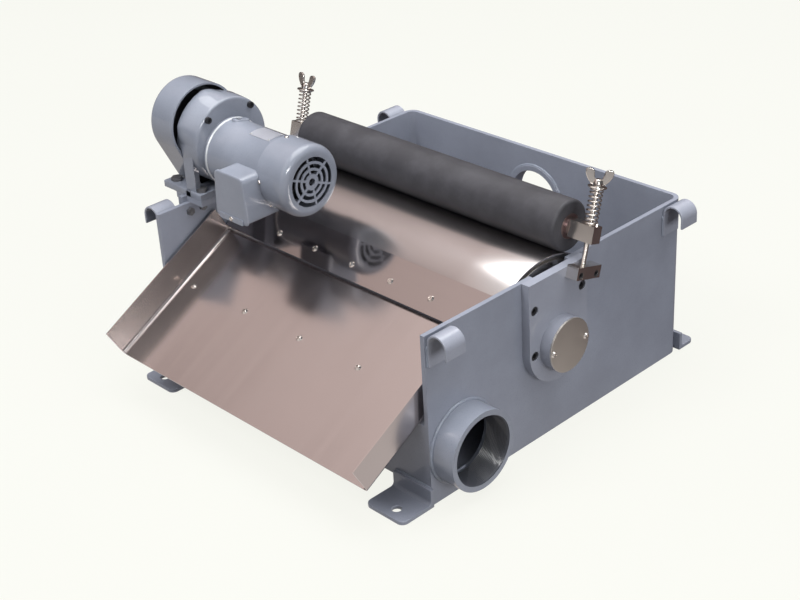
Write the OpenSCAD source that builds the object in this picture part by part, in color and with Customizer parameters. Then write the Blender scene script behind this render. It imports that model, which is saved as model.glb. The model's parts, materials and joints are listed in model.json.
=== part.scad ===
// Magnetic drum separator for liquids: a welded tank, a magnetic drum with a chain drive,
// a rubber squeeze roller held down by two springs, a scraper and a discharge chute.
// Millimetres, +Z up, +X to the outlet side, -Y to the chute side.
// Origin: centre of the four foot holes, at the underside of the feet.

/* [Tank] */
// Outside width of the tank, across the side plates
tank_w = 492; // [440:1:560]
// Outside length of the tank, from the front edge to the rear face
tank_l = 471; // [440:1:540]
// Height of the side plates
tank_h = 227; // [222:1:240]
// Thickness of the side and rear plates
plate_t = 6; // [4:0.5:8]
// Outer radius of the two bent rear corners
corner_r = 15; // [12:1:30]
// Thickness of the floor and front sheets
sheet_t = 3; // [2:0.5:5]
// Height of the floor's underside above the ground
floor_z = 17; // [8:1:17]
// Length of the front wall's sloped top flange
wall_flange = 46; // [38:1:60]

/* [Inlet and outlet] */
// Outside radius of the outlet coupling
outlet_r = 51.5; // [49:0.1:51.5]
// Bore radius of the outlet coupling
outlet_bore_r = 44.5; // [40:0.5:44.5]
// Length of the outlet coupling outside the side plate
outlet_len = 34.5; // [25:0.5:60]
// Distance of the outlet's axis behind the front edge
outlet_y = 53; // [53:1:70]
// Height of the outlet's axis
outlet_z = 65; // [65:1:80]
// Size of the weld fillet round the outlet
outlet_weld = 1.5; // [1:0.1:1.5]
// Outside radius of the inlet collar
inlet_r = 48.3; // [46:0.1:52]
// Bore radius of the inlet collar
inlet_bore_r = 40.5; // [36:0.5:43]
// Height of the inlet's axis
inlet_z = 155; // [140:1:165]
// Length of the inlet collar inside the rear wall
inlet_in = 3; // [2:0.5:8]
// Length of the inlet collar outside the rear wall
inlet_out = 12; // [8:1:40]

/* [Feet] */
// Width of a foot
foot_w = 63; // [50:1:80]
// Length of a foot's pad in front of the plate
foot_l = 52; // [44:1:70]
// Length of a rear foot's pad behind the plate
foot_rear_l = 32; // [28:1:70]
// Distance of a rear foot's hole from the pad's free end
foot_rear_hole_y = 11; // [11:0.5:16]
// Height of a foot's upright leg
foot_h = 25; // [20:1:50]
// Thickness of a foot
foot_t = 5; // [3:0.5:8]
// How far a foot stands out past the side plate
foot_out = 3.5; // [0:0.5:6]
// Radius of a foot's two free corners
foot_corner = 9; // [3:1:14]
// Radius of the mounting hole
foot_hole_r = 6; // [4:0.5:8]
// Distance of the hole from the pad's free end
foot_hole_y = 16; // [14:0.5:24]
// Distance of the hole from the foot's outer side
foot_hole_x = 26; // [20:1:40]

/* [Lifting hooks] */
// Width of a hook's strip
hook_w = 31; // [20:1:45]
// Thickness of a hook's strip
hook_t = 3; // [3:0.5:6]
// Outer radius of the hook's bend
hook_r = 15.5; // [9:0.5:18]
// Depth of the bend's centre below the plates' top edge
hook_drop = 11; // [10:1:25]
// Length of the inner leg below the bend's centre
hook_inner = 30; // [15:1:40]
// Length of the outer leg below the bend's centre
hook_outer = 12; // [2:0.5:25]
// Distance of a front hook from the tank's front edge
hook_edge = 3; // [0:0.5:10]
// Distance of a rear hook from the tank's rear face
hook_rear_edge = 12; // [12:1:30]

/* [Drum] */
// Outer radius of the drum
drum_r = 103; // [98:0.5:105]
// Wall of the drum's stainless shell
drum_wall = 2; // [1:0.5:4]
// Gap between a drum end and the side plate
drum_side_gap = 4.5; // [3:0.5:10]
// Distance of the drum's axis behind the front edge
drum_from_front = 212.5; // [210:0.5:220]
// Height of the drum's axis
drum_z = 132.7; // [128:0.1:136]
// Thickness of the drum's end flanges
drum_flange_t = 8; // [5:1:14]
// How far the end flanges sit inside the shell
drum_flange_in = 5; // [2:0.5:12]
// Radius of the drum shaft
shaft_r = 12.5; // [10:0.5:15]
// Number of magnet bars round the core
magnet_count = 12; // [8:1:14]
// Width of a magnet bar
magnet_w = 30; // [15:1:34]
// Radial height of a magnet bar
magnet_h = 20; // [10:1:24]
// Wall of the steel tube that carries the magnets
core_wall = 8; // [4:0.5:12]
// Gap between the magnets and the shell
magnet_gap = 3; // [1:0.5:6]
// Thickness of the drum pan
pan_t = 3; // [2:0.5:4]
// Angle of the pan's rear edge below the drum's axis
pan_rear = 12; // [8:1:30]
// Angle of the pan's front edge below the drum's axis
pan_front = 36; // [30:1:50]

/* [Chute and scraper] */
// Slope of the chute
chute_slope = 29.2; // [28.5:0.1:29.5]
// Length of the chute along its slope
chute_len = 221.5; // [205:0.5:222]
// Thickness of the chute and scraper sheets
steel_t = 2; // [1.5:0.5:3]
// Height of the chute's side flanges
chute_flange = 42; // [25:1:50]
// Gap between a chute flange and the side plate
chute_side_gap = 4.5; // [2:0.5:10]
// How far the chute's front edge stands out before the tank
chute_out = 87; // [86:1:92]
// Height of the chute's front edge
chute_z = 61.7; // [58:0.1:64]
// Number of chute screws
chute_screws_n = 5; // [3:1:7]
// Distance of the outer chute screws from the chute's side
chute_screw_edge = 22.1; // [15:0.1:60]
// Distance of the chute screws from the chute's front edge
chute_screw_s = 125.5; // [120:0.5:130]
// Distance of the scraper's lower edge behind the front edge
scraper_y = 102; // [100:0.5:103]
// Height of the scraper's lower edge
scraper_z = 175.6; // [174:0.1:177]
// Length of the scraper, from its lower edge to the drum
scraper_len = 51.9; // [50:0.1:53]
// Thickness of the scraper blade
blade_t = 1.5; // [1:0.1:2]
// Number of scraper screws
scraper_screws_n = 7; // [3:1:7]
// Distance of the outer scraper screws from the scraper's end
scraper_screw_edge = 26.4; // [18:0.1:60]
// Distance of the scraper screws from the scraper's lower edge
scraper_screw_s = 19.7; // [17:0.1:20]
// Thickness of the scraper at its ground edge
edge_t = 0.5; // [0.3:0.1:0.6]
// Thickness of the bent bar that carries the scraper
bar_t = 4; // [3:0.5:4]
// Length of the bar's leg under the scraper
bar_leg = 24.5; // [23:0.5:25]
// Length of the bar's leg under the chute
bar_low_leg = 27; // [20:1:34]
// Radius of the chute and scraper screws
small_screw_r = 2.5; // [2:0.1:3]
// Radius of the chute and scraper screw heads
small_head_r = 4.4; // [4:0.1:6]
// Height of the chute and scraper screw heads
small_head_h = 2.2; // [1.5:0.1:4]

/* [Outlet side bearing] */
// Thickness of the bearing plate
bearing_plate_t = 12; // [10:0.5:16]
// Half width of the bearing plate, and radius of its round end
bearing_plate_r = 52.2; // [50:0.1:56]
// Radius of the bearing boss
boss_r = 34.8; // [32:0.1:38]
// Height of the boss above the bearing plate
boss_h = 15; // [12:0.5:20]
// Outer radius of the ball bearings
bearing_r = 26; // [24:0.5:28]
// Width of the ball bearings
bearing_w = 15; // [10:0.5:16]
// Thickness of the cap disc
cap_t = 2.5; // [1.5:0.5:4]
// Distance of the cap screws from the drum's axis
cap_screw_y = 29.5; // [29:0.1:30]
// Half distance across between the bearing plate's screws
plate_screw_y = 43; // [42:0.5:44]
// Height of the upper plate screws above the drum's axis
plate_screw_up = 58; // [50:0.5:59]
// Depth of the lower plate screws below the drum's axis
plate_screw_down = 3; // [0:0.5:10]
// Radius of the plate screws
plate_screw_r = 4; // [3:0.5:5]
// Radius of the plate screw heads
plate_head_r = 5.8; // [5.5:0.1:6.5]
// Half width of the open slot in the side plate
slot_r = 32; // [30:0.5:36]

/* [Drive side bearing] */
// Radius of the bearing flange
flange_r = 44; // [42:0.5:48]
// Thickness of the bearing flange
flange_t = 10; // [6:0.5:14]
// Height of the bearing housing above the plate
housing_h = 19; // [18:0.5:20]
// Radius of the bearing housing
housing_r = 32; // [30:0.5:34]
// Radius of the flange's bolt circle
flange_bolt_circle = 38; // [37:0.5:40]
// Radius of the round opening in the side plate
shaft_opening_r = 20; // [16:0.5:24]

/* [Squeeze roller] */
// Radius of the rubber sleeve
roller_r = 32.7; // [28:0.1:36]
// Length of a roller collar, from the rubber to the bearing block
collar_l = 3.5; // [2:0.5:12]
// Radius of the roller's steel core
core_r = 16; // [15:0.5:24]
// Radius of the roller's collars
collar_r = 11; // [9:0.5:13]
// Radius of the roller's journals
journal_r = 6; // [5:0.5:6.5]
// Angle of the roller from straight above the drum
roller_angle = 20.5; // [18:0.5:24]
// Lean of the spring rods to the rear
rod_lean = 15.5; // [15:0.5:19]
// Radius of the spring rods
rod_r = 3.2; // [2.5:0.1:3.5]
// Distance of a rod from the face that its bracket sits on
rod_off = 6; // [6:0.5:9]
// Length of a bearing block along the roller
block_len = 37; // [34:0.5:40]
// Depth of a bearing block
block_d = 16; // [15:0.5:20]
// Height of a bearing block
block_h = 21; // [18:0.5:24]
// Distance of the rod from a block's outer end
block_rod = 12; // [8:0.5:14]
// Depth of the journal in a block
journal_in = 18; // [12:0.5:19]
// Length of a lower bracket
bracket_l = 44; // [40:1:52]
// Width of a lower bracket, out from its seat
bracket_w = 17; // [15:0.5:20]
// Height of a lower bracket
bracket_h = 16; // [14:0.5:17]
// Distance of the right bracket's top below the roller's axis, along its rod
bracket_drop = 38; // [37:0.5:40]
// Distance of the left bracket's top below the roller's axis, along its rod
bracket_drop_left = 26; // [22:0.5:26]
// How far the left bracket is set to the rear, clear of the guard
bracket_shift = 16; // [15:0.5:18]
// Radius of the bracket screws
bracket_screw_r = 2.5; // [2:0.1:3]
// Radius of the bracket screw heads
bracket_head_r = 4.2; // [4:0.1:4.5]

/* [Springs and wing nuts] */
// Height of a spring at rest
spring_h = 45; // [35:1:50]
// Mean radius of a spring's coils
spring_r = 6.1; // [5.5:0.1:7]
// Radius of the spring wire
wire_r = 1; // [0.6:0.1:1.1]
// Number of coils
coils = 9; // [6:1:10]
// Radius of the washers
washer_r = 9.5; // [8:0.5:12]
// Thickness of the washers
washer_t = 1.6; // [1:0.1:2]
// Height of a wing nut's hub
nut_h = 8; // [7:0.5:11]
// Radius of a wing nut's hub at its foot
nut_r = 6.5; // [6:0.1:8]
// Reach of a wing from the rod's axis
wing_reach = 15; // [13:0.5:18]
// Height of the wing tips above the washer
wing_h = 19.5; // [18:0.5:26]
// Thickness of a wing
wing_t = 3; // [2:0.5:4]
// Length of rod above the washer
rod_tip = 9; // [8:0.5:18]

/* [Gearmotor] */
// Distance of the motor's axis behind the front edge
motor_from_front = 110; // [108:0.5:112]
// Height of the motor's axis above the side plates
motor_rise = 61; // [60:0.5:64]
// Radius of the motor's shell
motor_r = 44.5; // [42:0.5:45]
// Length of the motor's shell
motor_len = 117; // [105:1:120]
// Radius of the motor's mounting flange
motor_flange_r = 46.5; // [46:0.5:48]
// Thickness of the motor's mounting flange
motor_flange_t = 5; // [3:0.5:8]
// Length of the fan cover
fan_cover_len = 52; // [42:1:52]
// Outside radius of the fan cover
fan_cover_r = 47.5; // [46.5:0.5:49]
// Wall of the fan cover
fan_cover_t = 1.8; // [1.2:0.1:2.2]
// Radius of the flat grille on the fan cover
grille_r = 37; // [35:0.5:38]
// Number of spokes in the grille
spokes = 6; // [4:1:8]
// Width of a grille spoke
spoke_w = 2.8; // [2:0.1:5]
// Radius of the fan
fan_r = 34; // [28:0.5:36]
// Number of fan blades
blades = 8; // [5:1:10]
// Radius of the motor shaft
motor_shaft_r = 6; // [4:0.5:7]
// Distance of the gearbox's axis behind the front edge
gearbox_from_front = 112; // [110:0.5:114]
// Height of the gearbox's axis above the side plates
gearbox_rise = 75.5; // [74:0.5:77]
// Radius of the gearbox at its face
gearbox_r = 57.5; // [55:0.5:60]
// Radius of the gearbox at the plate side
gearbox_rear_r = 59.5; // [58:0.5:60]
// Length of the gearbox
gearbox_len = 32; // [28:1:36]
// Thickness of the gearbox's base
base_t = 9; // [8:0.5:14]
// Length of the gearbox's base
base_l = 112; // [100:1:120]
// Distance of the base behind the front edge
base_from_front = 52; // [50:0.5:54]
// Thickness of the motor mount
mount_t = 8; // [6:0.5:10]
// Height of the motor mount's flange, beside the side plate
mount_flange = 30; // [26:1:60]
// Length of the motor mount's flange
mount_l = 33; // [30:1:33]
// Width of the outer lugs of base and mount
lug_w = 23; // [18:0.5:24]
// Reach of the base's outer lug past the side plate
lug_out = 48; // [40:1:52]
// Radius of the bolts through the side plate
mount_bolt_r = 3; // [2.5:0.5:3.5]
// Half width of these bolts' heads across their flats
mount_head_r = 5; // [4.5:0.1:5.5]
// Radius of the base bolts
bolt_r = 4; // [3:0.5:5]
// Half width of a bolt head across its flats
bolt_head_r = 6.5; // [6:0.1:7.5]
// Height of a bolt head
bolt_head_h = 5; // [4:0.5:7]
// Width of the conduit box along the motor
conduit_w = 61; // [50:1:64]
// Height of the conduit box
conduit_h = 62; // [54:1:66]
// How far the conduit box stands out from the motor's side
conduit_out = 30; // [24:1:34]
// Distance of the conduit box from the motor's flange
conduit_x = 55; // [48:1:58]
// Depth of the conduit box's underside below the motor's axis
conduit_drop = 47; // [43:1:52]
// Wall of the conduit box
conduit_wall = 3; // [2:0.5:4]
// Thickness of the conduit box's cover
cover_t = 3; // [2:0.5:5]
// Edge radius of the conduit box
conduit_r = 7; // [4:0.5:9]

/* [Chain drive] */
// Distance of the output shaft's axis behind the front edge
output_from_front = 95; // [93:0.5:97]
// Height of the output shaft's axis above the side plates
output_rise = 98; // [96:0.5:99]
// Radius of the guard round the output shaft
guard_top_r = 53; // [52:0.5:53]
// Radius of the guard round the drum shaft
guard_low_r = 76; // [74:0.5:77]
// Depth of the guard
guard_d = 48; // [46:0.5:50]
// Wall of the guard
guard_t = 3; // [2.5:0.1:3.5]
// Radius of the guard's outer edge
guard_edge = 6; // [3:0.5:7]
// Chain pitch
pitch = 12.7; // [12.7:0.1:12.8]
// Teeth of the drive sprocket
drive_teeth = 15; // [13:1:16]
// Teeth of the driven sprocket
driven_teeth = 28; // [24:1:28]
// Radius of the chain's rollers
chain_roller_r = 3.96; // [3.5:0.01:4]
// Thickness of the sprocket teeth
tooth_w = 7.2; // [6:0.1:7.3]
// Thickness of the chain's link plates
link_t = 1.5; // [1:0.1:2]
// Height of the chain's link plates
link_h = 11; // [9:0.5:12]
// Radius of the sprocket hubs
hub_r = 19; // [17:0.5:20]
// Length of the sprocket hubs
hub_len = 16; // [12:0.5:17]
// Radius of the output shaft
output_r = 8; // [6:0.5:10]

/* [Clearances] */
// Radial clearance of a shaft that turns or slides in its bore
run_gap = 0.05; // [0.02:0.01:0.1]
// Clearance of the scraper from the drum
scraper_gap = 0.4; // [0.3:0.1:0.8]
// Clearance between moving faces, and round bolts in their holes
move_gap = 0.3; // [0.2:0.05:0.5]

/* [Hidden] */
$fn = 96;
enamel = [0.50, 0.53, 0.60];
stainless = [0.74, 0.71, 0.68];
nickel = [0.78, 0.76, 0.72];
rubber = [0.16, 0.16, 0.18];
dark_steel = [0.35, 0.35, 0.36];
eps = 0.01;
hole_r = small_screw_r + run_gap;
half_w = tank_w / 2;
inner_w = half_w - plate_t;
front_hole = foot_l - foot_hole_y;
rear_hole = foot_rear_l - foot_rear_hole_y;
front_y = -(tank_l + rear_hole - front_hole) / 2;
rear_y = front_y + tank_l;
floor_top = floor_z + sheet_t;
hook_z = tank_h - hook_drop;
drum_y = front_y + drum_from_front;
drum_half = inner_w - drum_side_gap;
pan_r = drum_z - floor_top - pan_t - move_gap;
// Chute line: the upper face of the chute's sheet
chute_y = front_y - chute_out;
chute_half = inner_w - chute_side_gap;
chute_pitch = 2 * (chute_half - chute_screw_edge) / (chute_screws_n - 1);
scraper_pitch = 2 * (chute_half - scraper_screw_edge) / (scraper_screws_n - 1);
// Slope of the scraper: its edge meets the drum at the scraper's clearance
edge_y = front_y + scraper_y;
to_drum = [drum_y - edge_y, drum_z - scraper_z];
edge_r = drum_r + scraper_gap + edge_t;
edge_cos = (to_drum * to_drum + pow(scraper_len, 2) - pow(edge_r, 2)) / (2 * norm(to_drum) * scraper_len);
scraper_slope = atan2(to_drum[1], to_drum[0]) + acos(edge_cos);
// Outlet side bearing
seat_x = half_w + bearing_plate_t;
boss_x = seat_x + boss_h;
// Squeeze roller and its rods
roller_y = drum_y + (drum_r + roller_r + move_gap) * sin(roller_angle);
roller_z = drum_z + (drum_r + roller_r + move_gap) * cos(roller_angle);
rod_x = [seat_x + rod_off, half_w + rod_off];
roller_end = [for (x = rod_x) x + block_rod - block_len - move_gap - collar_l];
// Brackets, right and left: top below the roller's axis, shift to the rear and screw places
drop = [bracket_drop, bracket_drop_left];
shift = [0, bracket_shift];
screws_y = [[-14.5, 14.5], [bracket_shift - 2, bracket_shift + 15]];
washer_z = block_h / 2 + spring_h;
// How far each wing nut is turned at rest, right and left
wing_turn = [42, 0];
// Gearmotor
motor_y = front_y + motor_from_front;
motor_z = tank_h + motor_rise;
gearbox_y = front_y + gearbox_from_front;
gearbox_z = tank_h + gearbox_rise;
face_x = -half_w + gearbox_len;
cover_x = face_x + motor_len;
cover_start = cover_x - 10;
bell_start = cover_start - 4;
conduit_z = motor_z - conduit_drop;
conduit_front = motor_y - motor_r - conduit_out;
base_y = front_y + base_from_front;
base_z = tank_h + mount_t;
mount_y = base_y - 8;
// Chain drive
output_y = front_y + output_from_front;
output_z = tank_h + output_rise;
guard_x = -half_w - guard_d;
drive_pr = pitch / 2 / sin(180 / drive_teeth);
driven_pr = pitch / 2 / sin(180 / driven_teeth);
sprocket_x = guard_x + guard_t + 12.5;

// Extrude an outline in Y and Z along X, between two planes
module along_x(x0, x1) {
    translate([x0, 0, 0]) rotate([90, 0, 90]) linear_extrude(x1 - x0) children();
}

// Cylinder along X, between two planes
module rod(x0, x1, r, y = 0, z = 0, r2 = undef) {
    translate([x0, y, z]) rotate([0, 90, 0]) cylinder(h = x1 - x0, r1 = r, r2 = is_undef(r2) ? r : r2);
}

// Frames of the chute and the scraper: Y up the slope, Z square to the sheet
module chute_frame() {
    translate([0, chute_y, chute_z]) rotate([chute_slope, 0, 0]) children();
}

module scraper_frame() {
    translate([0, edge_y, scraper_z]) rotate([scraper_slope, 0, 0]) children();
}

// Frame of a spring rod: side 0 is the right and 1 the left, origin on the roller's axis
module rod_frame(side) {
    mirror([side, 0, 0]) translate([rod_x[side], roller_y, roller_z]) rotate([-rod_lean, 0, 0]) children();
}

// Screw positions in a row along X
function row(n, step) = [for (i = [0:n - 1]) (i - (n - 1) / 2) * step];

// Plan outline of the bent tank wall, grown or shrunk by d
module tank_plan(d = 0) {
    r = corner_r + d;
    union() {
        translate([-half_w - d, front_y]) square([tank_w + 2 * d, tank_l - corner_r]);
        translate([-half_w - d + r, front_y]) square([tank_w + 2 * d - 2 * r, tank_l + d]);
        for (s = [-1, 1]) translate([s * (half_w - corner_r), rear_y - corner_r]) circle(r);
    }
}

// Two circles and the straight sides that touch them
module teardrop(r1, r2) {
    d = [drum_y - output_y, drum_z - output_z];
    len = norm(d);
    u = d / len;
    v = [-u[1], u[0]];
    k = (r1 - r2) / len;
    m = sqrt(1 - k * k);
    top = [output_y, output_z];
    low = [drum_y, drum_z];
    union() {
        translate(top) circle(r1);
        translate(low) circle(r2);
        polygon([top + (u * k + v * m) * r1, low + (u * k + v * m) * r2,
                 low + (u * k - v * m) * r2, top + (u * k - v * m) * r1]);
    }
}

// Bolt with a hexagon head, pointing down from its head's seat
module hex_bolt(r, head_r, head_h, len) {
    union() {
        translate([0, 0, -len]) cylinder(h = len + eps, r = r);
        cylinder(h = head_h, r = head_r / cos(30), $fn = 6);
    }
}

// Round head screw with a cross recess, pointing down from its head's seat
module round_screw(len) {
    difference() {
        union() {
            translate([0, 0, -len]) cylinder(h = len + eps, r = small_screw_r);
            cylinder(h = small_head_h, r1 = small_head_r, r2 = small_head_r * 0.7);
        }
        translate([-small_head_r * 0.5, -0.4, small_head_h - 0.9]) cube([small_head_r, 0.8, 2]);
        translate([-0.4, -small_head_r * 0.5, small_head_h - 0.9]) cube([0.8, small_head_r, 2]);
    }
}

// Socket head screw, pointing down from its head's seat
module socket_screw(r, head_r, head_h, len) {
    difference() {
        union() {
            translate([0, 0, -len]) cylinder(h = len + eps, r = r);
            cylinder(h = head_h, r = head_r);
        }
        translate([0, 0, head_h * 0.4]) cylinder(h = head_h, r = head_r * 0.55, $fn = 6);
    }
}

// Where the screws of the bearing plate go, with Z out from the plate
module plate_screws_at(x) {
    for (s = [-1, 1], dz = [plate_screw_up, -plate_screw_down])
        translate([x, drum_y + s * plate_screw_y, drum_z + dz]) rotate([0, 90, 0]) children();
}

// Where the bolts of the left bearing housing go, with Z out from the plate
module housing_bolts_at(x) {
    for (a = [45:90:315])
        translate([x, drum_y + flange_bolt_circle * cos(a), drum_z + flange_bolt_circle * sin(a)])
            rotate([0, -90, 0]) children();
}

// Where the two bolts of the motor mount go, with Z out from the side plate
module mount_bolts_at(x) {
    for (y = [6, mount_l - 6]) translate([x, mount_y + y, tank_h - 12]) rotate([0, -90, 0]) children();
}

// Where the foot bolts of the gearbox go, with Z up
module base_bolts_at(z) {
    translate([-half_w - lug_out + 14, base_y + lug_w / 2, z]) children();
    for (y = [10, base_l - 10]) translate([face_x - 10, base_y + y, z]) children();
}

// Where the screws of a lower bracket go, with Z out from its seat
module bracket_screws_at(side, x) {
    for (y = screws_y[side])
        rod_frame(side) translate([x - rod_off, y, -drop[side] - 0.65 * bracket_h]) rotate([0, 90, 0]) children();
}

module tank_shell() {
    color(enamel) difference() {
        linear_extrude(tank_h) difference() {
            tank_plan();
            intersection() {
                tank_plan(-plate_t);
                translate([-inner_w, front_y]) square([2 * inner_w, tank_l]);
            }
            translate([-inner_w, front_y - 1]) square([2 * inner_w, 2]);
        }
        // Outlet in the right plate, inlet in the rear plate
        rod(inner_w - 1, half_w + 1, outlet_r + run_gap, front_y + outlet_y, outlet_z);
        translate([0, rear_y + 1, inlet_z]) rotate([90, 0, 0]) cylinder(h = plate_t + 2, r = inlet_r + run_gap);
        // Open slot that the right end of the drum shaft drops into
        rod(inner_w - 1, half_w + 1, slot_r, drum_y, drum_z);
        translate([inner_w - 1, drum_y - slot_r, drum_z]) cube([plate_t + 2, 2 * slot_r, tank_h]);
        // Round opening for the left end of the drum shaft
        rod(-half_w - 1, -inner_w + 1, shaft_opening_r, drum_y, drum_z);
        plate_screws_at(inner_w - 1) cylinder(h = plate_t + 2, r = plate_screw_r + run_gap);
        housing_bolts_at(-inner_w + 1) cylinder(h = plate_t + 2, r = bolt_r + run_gap);
        mount_bolts_at(-inner_w + 1) cylinder(h = plate_t + 2, r = mount_bolt_r + run_gap);
        for (side = [0, 1])
            bracket_screws_at(side, inner_w - 1 - rod_x[side] + rod_off)
                cylinder(h = plate_t + 2, r = bracket_screw_r + run_gap);
    }
}

module tank_floor() {
    color(enamel) translate([0, 0, floor_z]) linear_extrude(sheet_t) intersection() {
        tank_plan(-plate_t);
        translate([-inner_w, front_y + sheet_t]) square([2 * inner_w, tank_l]);
    }
}

// Height of the chute's underside over a place in Y
function under_chute(y) = chute_z + (y - chute_y) * tan(chute_slope) - steel_t / cos(chute_slope);

module front_wall() {
    run = wall_flange * cos(chute_slope);
    fold = sheet_t / cos(chute_slope);
    color(enamel) difference() {
        along_x(-inner_w, inner_w) polygon([
            [front_y, floor_z], [front_y + sheet_t, floor_z],
            [front_y + sheet_t, under_chute(front_y + sheet_t) - fold],
            [front_y + run, under_chute(front_y + run) - fold],
            [front_y + run, under_chute(front_y + run)], [front_y, under_chute(front_y)]]);
        chute_frame() for (x = row(chute_screws_n, chute_pitch))
            translate([x, chute_screw_s, -steel_t - 2 * sheet_t]) cylinder(h = 3 * sheet_t, r = hole_r);
    }
}

// Trough under the drum that leads the liquid past the magnets
module drum_pan() {
    reach = 2 * drum_r;
    color(enamel) along_x(-inner_w, inner_w) translate([drum_y, drum_z]) difference() {
        circle(pan_r + pan_t);
        circle(pan_r);
        polygon([[0, 0], [reach * cos(pan_rear), -reach * sin(pan_rear)], [reach, reach], [-reach, reach],
                 [-reach * cos(pan_front), -reach * sin(pan_front)]]);
    }
}

module outlet_coupling() {
    color(enamel) translate([inner_w, front_y + outlet_y, outlet_z]) rotate([0, 90, 0]) difference() {
        union() {
            cylinder(h = plate_t + outlet_len, r = outlet_r);
            rotate_extrude() difference() {
                translate([outlet_r - 1, plate_t]) square([outlet_weld + 1, outlet_weld]);
                translate([outlet_r + outlet_weld, plate_t + outlet_weld]) circle(outlet_weld);
            }
        }
        translate([0, 0, -1]) cylinder(h = plate_t + outlet_len + 2, r = outlet_bore_r);
    }
}

module inlet_collar() {
    color(enamel) translate([0, rear_y - plate_t - inlet_in, inlet_z]) rotate([-90, 0, 0]) difference() {
        cylinder(h = plate_t + inlet_in + inlet_out, r = inlet_r);
        translate([0, 0, -1]) cylinder(h = plate_t + inlet_in + inlet_out + 2, r = inlet_bore_r);
    }
}

// Lifting hook on a side plate: end 0 is the front and 1 the rear
module hook(side, end) {
    y = end == 0 ? front_y + hook_edge : rear_y - hook_rear_edge - hook_w;
    color(enamel) mirror([side, 0, 0]) translate([half_w, y + hook_w, hook_z]) rotate([90, 0, 0])
        linear_extrude(hook_w) union() {
            translate([0, -hook_inner]) square([hook_t, hook_inner + eps]);
            translate([2 * hook_r - hook_t, -hook_outer]) square([hook_t, hook_outer + eps]);
            translate([hook_r, 0]) difference() {
                circle(hook_r);
                circle(hook_r - hook_t);
                translate([-2 * hook_r, -2 * hook_r]) square([4 * hook_r, 2 * hook_r]);
            }
        }
}

// Foot with a pad and an upright leg: end 0 is the front and 1 the rear
module foot(side, end) {
    x0 = half_w + foot_out - foot_w;
    len = end == 0 ? foot_l : foot_rear_l;
    hole = end == 0 ? front_hole : rear_hole;
    color(enamel) mirror([side, 0, 0]) translate([x0, end == 0 ? front_y : rear_y, 0]) mirror([0, end, 0])
        difference() {
            union() {
                linear_extrude(foot_t) union() {
                    translate([0, foot_corner - len]) square([foot_w, len - foot_corner]);
                    translate([foot_corner, -len]) square([foot_w - 2 * foot_corner, len]);
                    for (x = [foot_corner, foot_w - foot_corner])
                        translate([x, foot_corner - len]) circle(foot_corner);
                }
                translate([0, -foot_t, 0]) cube([foot_w, foot_t, foot_h]);
                translate([0, -2 * foot_t, foot_t - eps]) difference() {
                    cube([foot_w, foot_t + eps, foot_t]);
                    translate([-1, 0, foot_t]) rotate([0, 90, 0]) cylinder(h = foot_w + 2, r = foot_t);
                }
            }
            translate([foot_w - foot_hole_x, -hole, -1]) cylinder(h = foot_t + 2, r = foot_hole_r);
        }
}

// Discharge tray with a flange bent up along each side
module chute() {
    color(stainless) chute_frame() difference() {
        rotate([90, 0, 0]) translate([0, 0, -chute_len]) linear_extrude(chute_len) union() {
            translate([-chute_half, -steel_t]) square([2 * chute_half, steel_t]);
            for (x = [-chute_half, chute_half - steel_t])
                translate([x, -steel_t]) square([steel_t, chute_flange + steel_t]);
        }
        for (x = row(chute_screws_n, chute_pitch))
            translate([x, chute_screw_s, -2 * steel_t]) cylinder(h = 3 * steel_t, r = hole_r);
    }
}

module chute_screws() {
    color(nickel) chute_frame() for (x = row(chute_screws_n, chute_pitch))
        translate([x, chute_screw_s, 0]) round_screw(steel_t + sheet_t + 3);
}

// Blade that slopes up to the drum, ground to an edge there
module scraper() {
    color(stainless) scraper_frame() difference() {
        along_x(-chute_half, chute_half) polygon([
            [0, -blade_t], [0, 0], [scraper_len, 0], [scraper_len, -edge_t], [scraper_len - 10, -blade_t]]);
        for (x = row(scraper_screws_n, scraper_pitch))
            translate([x, scraper_screw_s, -2 * blade_t]) cylinder(h = 3 * blade_t, r = hole_r);
    }
}

module scraper_screws() {
    color(nickel) scraper_frame() for (x = row(scraper_screws_n, scraper_pitch))
        translate([x, scraper_screw_s, 0]) round_screw(blade_t + bar_t + 1.5);
}

// Bent bar across the tank: one leg under the scraper, one under the chute's upper edge
module scraper_support() {
    turn = scraper_slope - chute_slope;
    rel = [edge_y - chute_y, scraper_z - chute_z];
    edge = [rel * [cos(chute_slope), sin(chute_slope)], rel * [-sin(chute_slope), cos(chute_slope)]];
    s1 = chute_len + 0.5;
    s2 = s1 + bar_t;
    top = -blade_t;
    low = -blade_t - bar_t;
    a1 = (s1 - edge[0] + top * sin(turn)) / cos(turn);
    a2 = (s2 - edge[0] + low * sin(turn)) / cos(turn);
    blade = [[a1, top], [bar_leg, top], [bar_leg, low], [a2, low]];
    upper = [for (q = blade) edge + [q[0] * cos(turn) - q[1] * sin(turn), q[0] * sin(turn) + q[1] * cos(turn)]];
    lower = [[s2, -steel_t - bar_t], [s1 - bar_low_leg, -steel_t - bar_t], [s1 - bar_low_leg, -steel_t], [s1, -steel_t]];
    color(enamel) difference() {
        chute_frame() along_x(-inner_w, inner_w) polygon(concat(upper, lower));
        scraper_frame() for (x = row(scraper_screws_n, scraper_pitch))
            translate([x, scraper_screw_s, -blade_t - 2 * bar_t]) cylinder(h = 3 * bar_t, r = hole_r);
    }
}

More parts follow.
